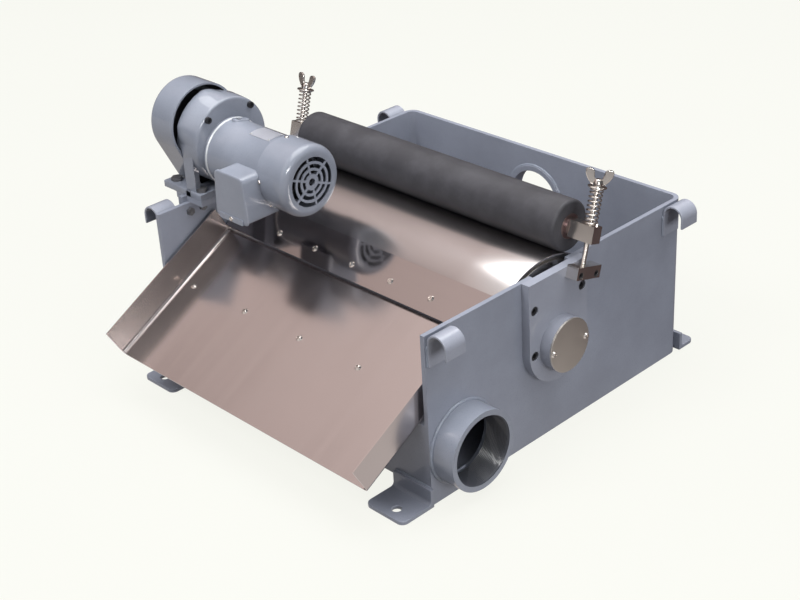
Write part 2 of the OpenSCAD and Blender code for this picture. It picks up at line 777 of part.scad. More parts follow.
// U-shaped plate over the open slot, with the bearing's boss
module bearing_plate() {
    color(enamel) difference() {
        union() {
            along_x(half_w, seat_x) union() {
                translate([drum_y, drum_z]) circle(bearing_plate_r);
                translate([drum_y - bearing_plate_r, drum_z]) square([2 * bearing_plate_r, tank_h - drum_z]);
            }
            rod(seat_x - eps, boss_x, boss_r, drum_y, drum_z);
        }
        rod(half_w - 1, boss_x + 1, bearing_r + run_gap, drum_y, drum_z);
        plate_screws_at(half_w - 1) cylinder(h = bearing_plate_t + 2, r = plate_screw_r + run_gap);
        plate_screws_at(seat_x - 7) cylinder(h = 8, r = plate_head_r + move_gap);
        for (s = [-1, 1]) rod(boss_x - 8, boss_x + 1, hole_r, drum_y + s * cap_screw_y, drum_z);
        bracket_screws_at(0, -bearing_plate_t - 1)
            cylinder(h = bearing_plate_t + 2, r = bracket_screw_r + run_gap);
    }
}

module bearing_plate_screws() {
    color(dark_steel) plate_screws_at(seat_x - 7)
        socket_screw(plate_screw_r, plate_head_r, 5.5, bearing_plate_t + plate_t - 3);
}

// Sealed ball bearing, with a groove between its rings
module ball_bearing() {
    difference() {
        cylinder(h = bearing_w, r = bearing_r);
        translate([0, 0, -1]) cylinder(h = bearing_w + 2, r = shaft_r + run_gap);
        for (z = [-1, bearing_w - 1]) translate([0, 0, z]) difference() {
            cylinder(h = 2, r = bearing_r - 4);
            translate([0, 0, -1]) cylinder(h = 4, r = shaft_r + 3.5);
        }
    }
}

module right_bearing() {
    color(dark_steel) translate([boss_x - bearing_w - 1, drum_y, drum_z]) rotate([0, 90, 0]) ball_bearing();
}

module bearing_cap() {
    color(nickel) difference() {
        rod(boss_x, boss_x + cap_t, boss_r, drum_y, drum_z);
        for (s = [-1, 1]) rod(boss_x - 1, boss_x + cap_t + 1, hole_r, drum_y + s * cap_screw_y, drum_z);
    }
}

module cap_screws() {
    color(nickel) for (s = [-1, 1])
        translate([boss_x + cap_t, drum_y + s * cap_screw_y, drum_z]) rotate([0, 90, 0]) round_screw(cap_t + 7);
}

module left_bearing_housing() {
    color(enamel) translate([-half_w, drum_y, drum_z]) rotate([0, -90, 0]) difference() {
        union() {
            cylinder(h = flange_t, r = flange_r);
            cylinder(h = housing_h, r = housing_r);
        }
        translate([0, 0, housing_h - bearing_w - 1]) cylinder(h = bearing_w + 2, r = bearing_r + run_gap);
        translate([0, 0, -1]) cylinder(h = housing_h, r = shaft_r + 4);
        for (a = [45:90:315]) rotate(a) translate([flange_bolt_circle, 0, -1])
            cylinder(h = flange_t + 2, r = bolt_r + run_gap);
    }
}

module left_bearing() {
    color(dark_steel) translate([-half_w - housing_h + 1, drum_y, drum_z]) rotate([0, 90, 0]) ball_bearing();
}

module housing_bolts() {
    color(nickel) housing_bolts_at(-half_w - flange_t)
        hex_bolt(bolt_r, bolt_head_r * 0.8, bolt_head_h, flange_t + plate_t + 4);
}

// Bracket that holds the foot of a spring rod, square to its rod
module rod_bracket(side) {
    low = -drop[side] - bracket_h;
    color(nickel) difference() {
        rod_frame(side) translate([-rod_off, shift[side] - bracket_l / 2, low])
            cube([bracket_w, bracket_l, bracket_h]);
        rod_frame(side) translate([0, 0, low + 3]) cylinder(h = bracket_h, r = rod_r + run_gap);
        bracket_screws_at(side, -1) cylinder(h = bracket_w + 2, r = bracket_screw_r + run_gap);
        bracket_screws_at(side, bracket_w - 5) cylinder(h = 6, r = bracket_head_r + run_gap);
    }
}

module bracket_screws() {
    color(dark_steel) for (side = [0, 1])
        bracket_screws_at(side, bracket_w - 5)
            socket_screw(bracket_screw_r, bracket_head_r, 4, bracket_w + rod_x[side] - rod_off - half_w + 1);
}

module spring_rod(side) {
    low = -drop[side] - bracket_h + 3;
    color(nickel) rod_frame(side) translate([0, 0, low])
        cylinder(h = washer_z + washer_t + rod_tip - low, r = rod_r);
}

module drum_shell() {
    color(stainless) difference() {
        rod(-drum_half, drum_half, drum_r, drum_y, drum_z);
        rod(-drum_half - 1, drum_half + 1, drum_r - drum_wall, drum_y, drum_z);
    }
}

// The two end flanges of the drum, each with a raised ring and a hub
module drum_ends() {
    r = drum_r - drum_wall;
    color(stainless) for (s = [0, 1]) mirror([s, 0, 0]) difference() {
        union() {
            rod(drum_half - drum_flange_in - drum_flange_t, drum_half - drum_flange_in, r, drum_y, drum_z);
            difference() {
                rod(drum_half - drum_flange_in - 1, drum_half - 1, r - 6, drum_y, drum_z);
                rod(drum_half - drum_flange_in - 2, drum_half, r - 12, drum_y, drum_z);
            }
            rod(drum_half - drum_flange_in - 25, drum_half - drum_flange_in, shaft_r + 12, drum_y, drum_z);
        }
        rod(0, drum_half + 1, shaft_r, drum_y, drum_z);
    }
}

module drum_shaft() {
    color(nickel) rod(sprocket_x - hub_len / 2, boss_x - 0.5, shaft_r, drum_y, drum_z);
}

// Steel tube inside the drum that carries the magnet bars
module magnet_core() {
    r = drum_r - drum_wall - magnet_gap - magnet_h;
    x = drum_half - drum_flange_in - drum_flange_t;
    color(dark_steel) difference() {
        rod(-x, x, r, drum_y, drum_z);
        rod(-x - 1, x + 1, r - core_wall, drum_y, drum_z);
    }
}

module magnet_bars() {
    r = drum_r - drum_wall - magnet_gap;
    x = drum_half - drum_flange_in - drum_flange_t - 6;
    core = r - magnet_h;
    color(dark_steel) for (i = [0:magnet_count - 1])
        translate([0, drum_y, drum_z]) rotate([i * 360 / magnet_count, 0, 0]) intersection() {
            translate([-x, -magnet_w / 2, 0]) cube([2 * x, magnet_w, r]);
            difference() {
                rod(-x, x, r);
                rod(-x - 1, x + 1, core);
            }
        }
}

// Toothed wheel on its hub, centred on the sprocket plane
module sprocket(teeth, pr, bore) {
    tip = pr + pitch * 0.3;
    difference() {
        union() {
            translate([0, 0, -tooth_w / 2]) linear_extrude(tooth_w) difference() {
                circle(tip);
                for (i = [0:teeth - 1]) rotate(i * 360 / teeth) translate([pr, 0]) union() {
                    circle(chain_roller_r + 0.1, $fn = 24);
                    polygon([[0, -chain_roller_r - 0.1], [tip, -chain_roller_r * 1.9],
                             [tip, chain_roller_r * 1.9], [0, chain_roller_r + 0.1]]);
                }
            }
            translate([0, 0, -hub_len / 2]) cylinder(h = hub_len, r = hub_r);
        }
        translate([0, 0, -hub_len]) cylinder(h = 2 * hub_len, r = bore);
    }
}

module driven_sprocket() {
    color(dark_steel) translate([sprocket_x, drum_y, drum_z]) rotate([0, 90, 0])
        sprocket(driven_teeth, driven_pr, shaft_r);
}

// Drive sprocket and the gearbox's output shaft turn as one
module drive_sprocket() {
    color(dark_steel) union() {
        translate([sprocket_x, output_y, output_z]) rotate([0, 90, 0])
            sprocket(drive_teeth, drive_pr, output_r - eps);
        rod(sprocket_x - hub_len / 2, -half_w + 14, output_r, output_y, output_z);
    }
}

// Outline of the chain's link plates round both sprockets, in Y and Z
module chain_loop(d) {
    teardrop(drive_pr + d, driven_pr + d);
}

// Two rows of link plates, with pins along the two straight runs
module chain() {
    d = [drum_y - output_y, drum_z - output_z];
    len = norm(d);
    u = d / len;
    v = [-u[1], u[0]];
    k = (drive_pr - driven_pr) / len;
    m = sqrt(1 - k * k);
    pins = floor(len / pitch) - 5;
    out = tooth_w / 2 + move_gap;
    color(dark_steel) union() {
        for (x = [sprocket_x - out - link_t, sprocket_x + out]) along_x(x, x + link_t) difference() {
            chain_loop(link_h / 2);
            chain_loop(-link_h / 2);
        }
        for (s = [-1, 1], i = [0:pins - 1]) {
            n = u * k + v * m * s;
            f = 0.5 + (i - (pins - 1) / 2) * pitch / len;
            p = [output_y, output_z] + n * drive_pr + (d + n * (driven_pr - drive_pr)) * f;
            rod(sprocket_x - out - link_t, sprocket_x + out + link_t, chain_roller_r, p[0], p[1], $fn = 24);
        }
    }
}

module roller_sleeve() {
    color(rubber) difference() {
        rod(-roller_end[1], roller_end[0], roller_r, roller_y, roller_z);
        rod(-roller_end[1] - 1, roller_end[0] + 1, core_r, roller_y, roller_z);
    }
}

// Steel core of the roller, with a collar and a journal at each end
module roller_core() {
    color(nickel) union() {
        rod(-roller_end[1], roller_end[0], core_r, roller_y, roller_z);
        for (side = [0, 1]) {
            end = roller_end[side];
            mirror([side, 0, 0]) {
                rod(end - eps, end + collar_l, collar_r, roller_y, roller_z);
                rod(end, end + collar_l + move_gap + journal_in, journal_r, roller_y, roller_z);
            }
        }
    }
}

// Block that holds a roller journal and slides up its spring rod
module bearing_block(side) {
    color(nickel) rod_frame(side) difference() {
        translate([block_rod - block_len, -block_d / 2, -block_h / 2]) cube([block_len, block_d, block_h]);
        translate([0, 0, -block_h]) cylinder(h = 2 * block_h, r = rod_r + run_gap);
        rod(block_rod - block_len - 1, block_rod - block_len + journal_in + move_gap, journal_r + run_gap);
    }
}

// Wire wound round a rod, as a tube swept along a helix with flat end coils
function coil_z(t) = spring_h * (t < 0.08 ? t * 0.45 : t > 0.92 ? 1 - (1 - t) * 0.45
                                 : 0.036 + (t - 0.08) * (0.928 / 0.84));

module coil_spring() {
    steps = coils * 16;
    sides = 6;
    low = wire_r;
    high = spring_h - wire_r;
    points = [for (i = [0:steps]) let (t = i / steps, a = 360 * coils * t,
                                       z = low + (high - low) * coil_z(t) / spring_h)
              for (j = [0:sides - 1]) let (b = 360 * j / sides, r = spring_r + wire_r * cos(b))
              [r * cos(a), r * sin(a), z + wire_r * sin(b)]];
    faces = concat([[for (j = [0:sides - 1]) j]],
                   [[for (j = [sides - 1:-1:0]) steps * sides + j]],
                   [for (i = [0:steps - 1], j = [0:sides - 1]) let (n = (j + 1) % sides)
                    [i * sides + j, (i + 1) * sides + j, (i + 1) * sides + n, i * sides + n]]);
    polyhedron(points, faces);
}

module spring(side) {
    color(nickel) rod_frame(side) translate([0, 0, block_h / 2]) coil_spring();
}

module washer(side) {
    color(nickel) rod_frame(side) translate([0, 0, washer_z]) difference() {
        cylinder(h = washer_t, r = washer_r);
        translate([0, 0, -1]) cylinder(h = washer_t + 2, r = rod_r + run_gap);
    }
}

// Wing nut: a tapered hub with two wings
module wing_nut(side) {
    tip_r = 4.5;
    color(nickel) rod_frame(side) translate([0, 0, washer_z + washer_t]) rotate(wing_turn[side]) difference() {
        union() {
            cylinder(h = nut_h, r1 = nut_r, r2 = nut_r - 1.5);
            for (s = [-1, 1]) translate([0, wing_t / 2, 0]) rotate([90, 0, 0]) linear_extrude(wing_t) union() {
                translate([s * (wing_reach - tip_r), wing_h - tip_r]) circle(tip_r);
                polygon([[s * (rod_r + 1.5), 1], [s * (nut_r + 2), 2.5], [s * wing_reach, wing_h - tip_r],
                         [s * (wing_reach - 2 * tip_r), wing_h - tip_r], [s * (rod_r + 1.5), nut_h]]);
            }
        }
        translate([0, 0, -1]) cylinder(h = nut_h + 2, r = rod_r + run_gap);
    }
}

// Angle bracket on the left plate that carries the gearbox
module motor_mount() {
    x_out = -half_w - 22;
    color(enamel) difference() {
        union() {
            translate([x_out, base_y, tank_h]) cube([face_x - x_out, lug_w, mount_t]);
            translate([-half_w, base_y, tank_h]) cube([gearbox_len, base_l, mount_t]);
            translate([-half_w - mount_t, mount_y, base_z - mount_flange])
                cube([mount_t, mount_l, mount_flange]);
        }
        base_bolts_at(tank_h - 1) cylinder(h = mount_t + 2, r = bolt_r + run_gap);
        mount_bolts_at(-half_w + 1) cylinder(h = mount_t + 2, r = mount_bolt_r + run_gap);
    }
}

module motor_mount_bolts() {
    color(nickel) union() {
        mount_bolts_at(-half_w - mount_t)
            hex_bolt(mount_bolt_r, mount_head_r, bolt_head_h, mount_t + plate_t + 5);
        mount_bolts_at(-inner_w) rotate([180, 0, 0]) difference() {
            cylinder(h = 4, r = mount_head_r / cos(30), $fn = 6);
            translate([0, 0, -1]) cylinder(h = 6, r = mount_bolt_r - eps);
        }
        base_bolts_at(base_z + base_t) hex_bolt(bolt_r, bolt_head_r, bolt_head_h, base_t + mount_t - 2);
    }
}

// Cast gearbox: a drawn barrel on a base with two webs and an outer lug
module gearbox() {
    low_z = base_z;
    color(enamel) difference() {
        union() {
            rod(-half_w, face_x, gearbox_rear_r, gearbox_y, gearbox_z, gearbox_r);
            translate([-half_w, base_y, low_z]) cube([gearbox_len, base_l, base_t]);
            translate([-half_w - lug_out, base_y, low_z]) cube([lug_out + 10, lug_w, base_t]);
            for (y = [base_y + 2, base_y + base_l - 10])
                translate([-half_w, y, low_z]) cube([15, 8, gearbox_z - low_z]);
            translate([-half_w - 10, base_y + 2, low_z]) cube([11, 8, (gearbox_z - low_z) / 2]);
        }
        base_bolts_at(low_z - 1) cylinder(h = base_t + 2, r = bolt_r + run_gap);
        rod(-half_w - 1, -half_w + 14 + move_gap, output_r + run_gap, output_y, output_z);
        gearbox_screws_at() translate([0, 0, -5 * small_screw_r]) cylinder(h = 6 * small_screw_r, r = hole_r);
    }
}

// Where the face screws of the gearbox go, with Z out from the face
module gearbox_screws_at() {
    for (a = [48, 132])
        translate([face_x, gearbox_y + (gearbox_r - 5.2) * cos(a), gearbox_z + (gearbox_r - 5.2) * sin(a)])
            rotate([0, 90, 0]) children();
}

module gearbox_screws() {
    color(dark_steel) gearbox_screws_at()
        socket_screw(small_screw_r, small_head_r, 0.9 * small_head_r, 4 * small_screw_r);
}

// Motor shell with its mounting flange, its rear end bell and a bore for the rotor's shaft
module motor_shell() {
    color(enamel) difference() {
        union() {
            rod(face_x, face_x + motor_flange_t, motor_flange_r, motor_y, motor_z);
            rod(face_x, bell_start + 1, motor_r, motor_y, motor_z);
            rod(bell_start, cover_x, fan_cover_r - fan_cover_t - move_gap / 2, motor_y, motor_z);
        }
        rod(cover_x - 5 * motor_shaft_r, cover_x + 1, motor_shaft_r + move_gap, motor_y, motor_z);
    }
}

// Drawn steel cup with a domed end and a round grille of slots
module fan_cover() {
    r = fan_cover_r;
    end_x = cover_start + fan_cover_len;
    edge = r - grille_r;
    color(enamel) difference() {
        translate([cover_start, motor_y, motor_z]) rotate([0, 90, 0]) rotate_extrude() difference() {
            union() {
                square([r, fan_cover_len - edge]);
                square([grille_r, fan_cover_len]);
                translate([grille_r, fan_cover_len - edge]) circle(edge);
            }
            translate([-1, -1]) square([r - fan_cover_t + 1, fan_cover_len - edge + 1]);
            translate([-1, 0]) square([grille_r + 1, fan_cover_len - fan_cover_t]);
            translate([grille_r, fan_cover_len - edge]) circle(edge - fan_cover_t);
            translate([-r - 1, -1]) square([r + 1, fan_cover_len + 2]);
        }
        translate([end_x - fan_cover_t - 1, motor_y, motor_z]) rotate([0, 90, 0])
            linear_extrude(fan_cover_t + 2) rotate(8) grille_slots();
    }
}

// Three rings of slots, cut by the spokes
module grille_slots() {
    rings = grille_r * [[0.73, 0.88], [0.5, 0.635], [0.285, 0.405]];
    union() {
        difference() {
            for (q = rings) difference() {
                circle(q[1]);
                circle(q[0]);
            }
            for (i = [0:spokes - 1])
                rotate(i * 360 / spokes) translate([0, -spoke_w / 2]) square([grille_r, spoke_w]);
        }
        circle(0.13 * grille_r);
    }
}

// Fan on the end of the rotor's shaft
module motor_fan() {
    x0 = cover_x + 4;
    hub = 3 * motor_shaft_r;
    disc = motor_shaft_r / 3;
    color(dark_steel) union() {
        rod(cover_x - 5 * motor_shaft_r + move_gap, x0 + hub + 2, motor_shaft_r, motor_y, motor_z);
        rod(x0, x0 + hub, 2 * motor_shaft_r, motor_y, motor_z);
        rod(x0, x0 + disc, fan_r, motor_y, motor_z);
        translate([x0, motor_y, motor_z]) for (i = [0:blades - 1]) rotate([i * 360 / blades, 0, 0])
            translate([0, 1.7 * motor_shaft_r, -disc / 2]) cube([hub - disc, fan_r - 2 * motor_shaft_r, disc]);
    }
}

// Outline of the conduit box across the motor, in X and Z, narrower at its top
module conduit_outline(d) {
    taper = 4;
    r = conduit_r + d;
    x0 = face_x + conduit_x + conduit_r;
    x1 = face_x + conduit_x + conduit_w - conduit_r;
    low = conduit_z + conduit_r;
    high = conduit_z + conduit_h - conduit_r;
    union() {
        for (p = [[x0, low], [x1, low], [x0 + taper, high], [x1 - taper, high]]) translate(p) circle(r);
        polygon([[x0 - r, low], [x1 + r, low], [x1 + r - taper, high], [x0 - r + taper, high]]);
        polygon([[x0, low - r], [x1, low - r], [x1 - taper, high + r], [x0 + taper, high + r]]);
    }
}

module conduit_box() {
    depth = motor_y - conduit_front - cover_t;
    color(enamel) difference() {
        translate([0, motor_y, 0]) rotate([90, 0, 0]) linear_extrude(depth) conduit_outline(0);
        translate([0, motor_y - motor_r - conduit_wall, 0]) rotate([90, 0, 0])
            linear_extrude(conduit_out) conduit_outline(-conduit_wall);
        rod(face_x, cover_x, motor_r + eps, motor_y, motor_z);
        rod(bell_start - move_gap, cover_x, fan_cover_r + move_gap, motor_y, motor_z);
    }
}

// Cover of the conduit box, with a lip and a screw along its lower edge
module conduit_cover() {
    x = face_x + conduit_x;
    color(enamel) union() {
        translate([0, conduit_front + cover_t, 0]) rotate([90, 0, 0])
            linear_extrude(cover_t) conduit_outline(1.2);
        translate([x + conduit_r, conduit_front - 1.5, conduit_z - 1.2])
            cube([conduit_w - 2 * conduit_r, 1.5 + eps, 8]);
        translate([x + conduit_w / 2, conduit_front - 1.5, conduit_z + 3]) rotate([90, 0, 0])
            cylinder(h = 1.8, r1 = 3.2, r2 = 2.4);
    }
}

// Section of the guard's rim: X out from the rim's inner side, Y from the guard's face to the plate
module rim_section() {
    difference() {
        union() {
            intersection() {
                translate([0, guard_edge]) circle(guard_edge);
                square(guard_edge);
            }
            translate([0, guard_edge]) square([guard_edge, guard_d - guard_edge]);
        }
        translate([0, guard_edge]) circle(guard_edge - guard_t);
        translate([-1, guard_edge]) square([guard_edge - guard_t + 1, guard_d]);
    }
}

// Drawn guard over the chain, open to the side plate: a flat face and a rim in four runs
module chain_guard() {
    d = [drum_y - output_y, drum_z - output_z];
    len = norm(d);
    a = atan2(d[1], d[0]);
    b = acos((guard_top_r - guard_low_r) / len);
    side = sqrt(len * len - pow(guard_top_r - guard_low_r, 2));
    color(enamel) union() {
        along_x(guard_x, guard_x + guard_t) teardrop(guard_top_r - guard_edge, guard_low_r - guard_edge);
        translate([guard_x, output_y, output_z]) rotate([90, 0, 90]) {
            rotate(a + b) rotate_extrude(angle = 360 - 2 * b)
                translate([guard_top_r - guard_edge, 0]) rim_section();
            rotate(a + b) translate([guard_top_r - guard_edge, 0, 0]) rotate([90, 0, 0])
                linear_extrude(side) rim_section();
        }
        translate([guard_x, drum_y, drum_z]) rotate([90, 0, 90]) {
            rotate(a - b) rotate_extrude(angle = 2 * b)
                translate([guard_low_r - guard_edge, 0]) rim_section();
            rotate(a - b) translate([guard_low_r - guard_edge, 0, 0]) rotate([90, 0, 0])
                linear_extrude(side) rim_section();
        }
    }
}

tank_shell();
tank_floor();
front_wall();
drum_pan();
outlet_coupling();
inlet_collar();
hook(0, 0);  // hook_front_right
hook(1, 0);  // hook_front_left
hook(0, 1);  // hook_rear_right
hook(1, 1);  // hook_rear_left
foot(0, 0);  // foot_front_right
foot(1, 0);  // foot_front_left
foot(0, 1);  // foot_rear_right
foot(1, 1);  // foot_rear_left
chute();
chute_screws();
scraper();
scraper_screws();
scraper_support();
bearing_plate();
bearing_plate_screws();
right_bearing();
bearing_cap();
cap_screws();
left_bearing_housing();
left_bearing();
housing_bolts();
rod_bracket(0);  // rod_bracket_right
rod_bracket(1);  // rod_bracket_left
bracket_screws();
spring_rod(0);  // spring_rod_right
spring_rod(1);  // spring_rod_left
drum_shell();
drum_ends();
drum_shaft();
magnet_core();
magnet_bars();
driven_sprocket();
roller_sleeve();
roller_core();
bearing_block(0);  // bearing_block_right
bearing_block(1);  // bearing_block_left
spring(0);  // spring_right
spring(1);  // spring_left
washer(0);  // washer_right
washer(1);  // washer_left
wing_nut(0);  // wing_nut_right
wing_nut(1);  // wing_nut_left
motor_mount();
motor_mount_bolts();
gearbox();
gearbox_screws();
motor_shell();
fan_cover();
motor_fan();
conduit_box();
conduit_cover();
chain_guard();
drive_sprocket();
chain();
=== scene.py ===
"""Looks of the magnetic drum separator: finishes, detail pieces, soft studio light and the camera.

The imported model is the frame. Metres, +Z up, +X to the outlet side, -Y to the discharge chute.
"""

import json
import math

import bmesh
import bpy
from mathutils import Matrix, Vector


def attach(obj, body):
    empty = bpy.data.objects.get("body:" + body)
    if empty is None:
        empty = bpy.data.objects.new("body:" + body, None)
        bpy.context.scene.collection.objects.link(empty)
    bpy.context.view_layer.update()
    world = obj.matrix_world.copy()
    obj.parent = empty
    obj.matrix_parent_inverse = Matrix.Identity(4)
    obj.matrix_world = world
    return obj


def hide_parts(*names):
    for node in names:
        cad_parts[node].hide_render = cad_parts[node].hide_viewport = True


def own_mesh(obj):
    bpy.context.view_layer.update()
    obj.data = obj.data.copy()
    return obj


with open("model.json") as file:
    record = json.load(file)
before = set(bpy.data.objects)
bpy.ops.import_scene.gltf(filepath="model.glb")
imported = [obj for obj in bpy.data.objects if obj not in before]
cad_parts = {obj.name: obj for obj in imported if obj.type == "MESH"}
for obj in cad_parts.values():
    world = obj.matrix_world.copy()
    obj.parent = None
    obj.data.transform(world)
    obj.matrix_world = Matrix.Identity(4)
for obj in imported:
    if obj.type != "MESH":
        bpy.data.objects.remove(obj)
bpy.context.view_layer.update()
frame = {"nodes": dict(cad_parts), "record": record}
nodes = frame["nodes"]
mm = 0.001

# Places and sizes, in millimetres, as part.scad has them
HALF_W = 246.0
INNER_W = 240.0
PLATE = 6.0
FRONT_Y = -228.0
REAR_Y = 243.0
TANK_H = 227.0
SIDE_HALF = 235.5
DRUM_Y, DRUM_Z, DRUM_R = -15.5, 132.7, 103.0
ROLLER_ANGLE = math.radians(20.5)
ROLLER_R = 32.7
ROLLER_Y = DRUM_Y + (DRUM_R + ROLLER_R + 0.3) * math.sin(ROLLER_ANGLE)
ROLLER_Z = DRUM_Z + (DRUM_R + ROLLER_R + 0.3) * math.cos(ROLLER_ANGLE)
ROD_X = {"right": 264.0, "left": -252.0}
ROLLER_END = {"right": ROD_X["right"] - 28.8, "left": ROD_X["left"] + 28.8}
LEAN = math.radians(15.5)
CHUTE_SLOPE = math.radians(29.2)
CHUTE_Y, CHUTE_Z = FRONT_Y - 87.0, 61.7
OUTLET_Y, OUTLET_Z = FRONT_Y + 53.0, 65.0
INLET_Z = 155.0
FACE_X = -214.0
MOTOR_Y, MOTOR_Z, MOTOR_R = FRONT_Y + 110.0, TANK_H + 61.0, 44.5
COVER_R = 47.5
GEARBOX_Y, GEARBOX_Z = FRONT_Y + 112.0, TANK_H + 75.5
OUTPUT_Y, OUTPUT_Z = FRONT_Y + 95.0, TANK_H + 98.0
SIDES = ("right", "left")
CORNERS = ("front_right", "front_left", "rear_right", "rear_left")

# Heights along a tension rod from the roller's axis: spring's foot, washer and nut
SPRING_Z = 10.5
WASHER_Z = 55.5
NUT_Z = WASHER_Z + 1.6


# Small node-graph helpers

def new_material(name):
    mat = bpy.data.materials.new(name)
    mat.use_nodes = True
    tree = mat.node_tree
    tree.nodes.clear()
    out = tree.nodes.new("ShaderNodeOutputMaterial")
    bsdf = tree.nodes.new("ShaderNodeBsdfPrincipled")
    tree.links.new(bsdf.outputs["BSDF"], out.inputs["Surface"])
    return mat, tree, bsdf


def coordinates(tree, scale=(1, 1, 1)):
    """Object coordinates, stretched by scale."""
    source = tree.nodes.new("ShaderNodeTexCoord")
    mapping = tree.nodes.new("ShaderNodeMapping")
    mapping.inputs["Scale"].default_value = scale
    tree.links.new(source.outputs["Object"], mapping.inputs["Vector"])
    return mapping.outputs["Vector"]


def noise(tree, vector, scale, detail, roughness):
    node = tree.nodes.new("ShaderNodeTexNoise")
    node.inputs["Scale"].default_value = scale
    node.inputs["Detail"].default_value = detail
    node.inputs["Roughness"].default_value = roughness
    tree.links.new(vector, node.inputs["Vector"])
    return node.outputs["Fac"]


def ramp(tree, value, stops):
    """Colour ramp: stops are (place, colour) with colour a number or three numbers."""
    node = tree.nodes.new("ShaderNodeValToRGB")
    elements = node.color_ramp.elements
    while len(elements) < len(stops):
        elements.new(0.5)
    for element, (place, colour) in zip(elements, stops):
        rgb = (colour,) * 3 if isinstance(colour, float) else colour
        element.position = place
        element.color = (*rgb, 1.0)
    tree.links.new(value, node.inputs["Fac"])
    return node.outputs["Color"]


def mix(tree, factor, a, b):
    """Blend two colours by the factor's socket; each colour is a socket or three numbers."""
    node = tree.nodes.new("ShaderNodeMix")
    node.data_type = "RGBA"
    tree.links.new(factor, node.inputs[0])
    for socket, value in ((node.inputs[6], a), (node.inputs[7], b)):
        if isinstance(value, bpy.types.NodeSocket):
            tree.links.new(value, socket)
        else:
            socket.default_value = (*value, 1.0)
    return node.outputs[2]


def bump(tree, bsdf, height, strength, distance, below=None):
    """Relief for the shader, laid over the relief below where there is one."""
    node = tree.nodes.new("ShaderNodeBump")
    node.inputs["Strength"].default_value = strength
    node.inputs["Distance"].default_value = distance
    tree.links.new(height, node.inputs["Height"])
    if below is not None:
        tree.links.new(below, node.inputs["Normal"])
    tree.links.new(node.outputs["Normal"], bsdf.inputs["Normal"])
    return node.outputs["Normal"]


def map_range(tree, value, low, high):
    """Nothing at low, one at high."""
    node = tree.nodes.new("ShaderNodeMapRange")
    node.inputs["From Min"].default_value = low
    node.inputs["From Max"].default_value = high
    tree.links.new(value, node.inputs["Value"])
    return node.outputs[0]


def toned(colour, factor):
    return tuple(c * factor for c in colour)


# Finishes

def enamel_material(name, colour, roughness=0.42, texture=1.0, coat=0.4):
    """Brushed-on machine enamel: slight mottling, orange peel and dust in the paint."""
    mat, tree, bsdf = new_material(name)
    place = coordinates(tree)
    cloud = noise(tree, place, 9.0, 5.0, 0.6)
    tone = ramp(tree, cloud, [(0.30, toned(colour, 0.86)), (0.72, toned(colour, 1.12))])
    speck = ramp(tree, noise(tree, place, 950.0, 2.0, 0.5), [(0.30, 0.0), (0.36, 1.0)])
    base = mix(tree, speck, toned(colour, 0.72), tone)
    tree.links.new(base, bsdf.inputs["Base Color"])
    dull = noise(tree, place, 26.0, 4.0, 0.6)
    gloss = ramp(tree, dull, [(0.25, roughness - 0.02), (0.8, roughness + 0.04)])
    tree.links.new(gloss, bsdf.inputs["Roughness"])
    bsdf.inputs["Coat Weight"].default_value = coat
    bsdf.inputs["Coat Roughness"].default_value = 0.045
    peel = bump(tree, bsdf, noise(tree, place, 420.0, 3.0, 0.5), 0.16 * texture, 0.0004)
    bump(tree, bsdf, noise(tree, place, 38.0, 3.0, 0.5), 0.14 * texture, 0.0015, peel)
    return mat


def metal_material(name, colour, roughness, grain, grain_strength, smudge):
    """Bare metal: rolling or grinding lines along the axis where grain is small, and faint smudges."""
    mat, tree, bsdf = new_material(name)
    bsdf.inputs["Metallic"].default_value = 1.0
    lines = noise(tree, coordinates(tree, grain), 300.0, 6.0, 0.65)
    stain = noise(tree, coordinates(tree), 14.0, 4.0, 0.6)
    clean = ramp(tree, stain, [(0.30, 0.0), (0.75, 1.0)])
    tone = mix(tree, clean, toned(colour, 1 - smudge), colour)
    bright = ramp(tree, lines, [(0.35, 0.0), (0.65, 1.0)])
    streak = mix(tree, bright, toned(colour, 0.90), tone)
    tree.links.new(streak, bsdf.inputs["Base Color"])
    rough = ramp(tree, lines, [(0.3, roughness * 0.85), (0.7, roughness * 1.2)])
    tree.links.new(rough, bsdf.inputs["Roughness"])
    bump(tree, bsdf, lines, grain_strength, 0.0002)
    return mat


def satin_material(name, colour, roughness, grain, streak, scale=60.0, wave=0.02):
    """Polished sheet: long soft streaks in tone and gloss, and a trace of waviness."""
    mat, tree, bsdf = new_material(name)
    bsdf.inputs["Metallic"].default_value = 1.0
    lines = noise(tree, coordinates(tree, grain), scale, 3.0, 0.55)
    cloud = noise(tree, coordinates(tree), 5.0, 3.0, 0.55)
    bright = ramp(tree, lines, [(0.35, 0.0), (0.65, 1.0)])
    tone = mix(tree, bright, toned(colour, 1 - streak), colour)
    hazy = ramp(tree, cloud, [(0.35, 0.0), (0.70, 1.0)])
    haze = mix(tree, hazy, tone, toned(colour, 1 + streak / 3))
    tree.links.new(haze, bsdf.inputs["Base Color"])
    rough = ramp(tree, lines, [(0.3, roughness * 0.92), (0.7, roughness * 1.1)])
    tree.links.new(rough, bsdf.inputs["Roughness"])
    bump(tree, bsdf, lines, wave, 0.0003)
    return mat


def rubber_material(name):
    """Ground black rubber with a little dust."""
    mat, tree, bsdf = new_material(name)
    place = coordinates(tree)
    dust = ramp(tree, noise(tree, place, 30.0, 6.0, 0.7), [(0.42, 0.0), (0.8, 1.0)])
    tone = mix(tree, dust, (0.045, 0.044, 0.050), (0.075, 0.073, 0.082))
    tree.links.new(tone, bsdf.inputs["Base Color"])
    tree.links.new(ramp(tree, dust, [(0.0, 0.50), (1.0, 0.66)]), bsdf.inputs["Roughness"])
    bsdf.inputs["Specular IOR Level"].default_value = 0.35
    bump(tree, bsdf, noise(tree, place, 1400.0, 2.0, 0.5), 0.25, 0.0003)
    return mat


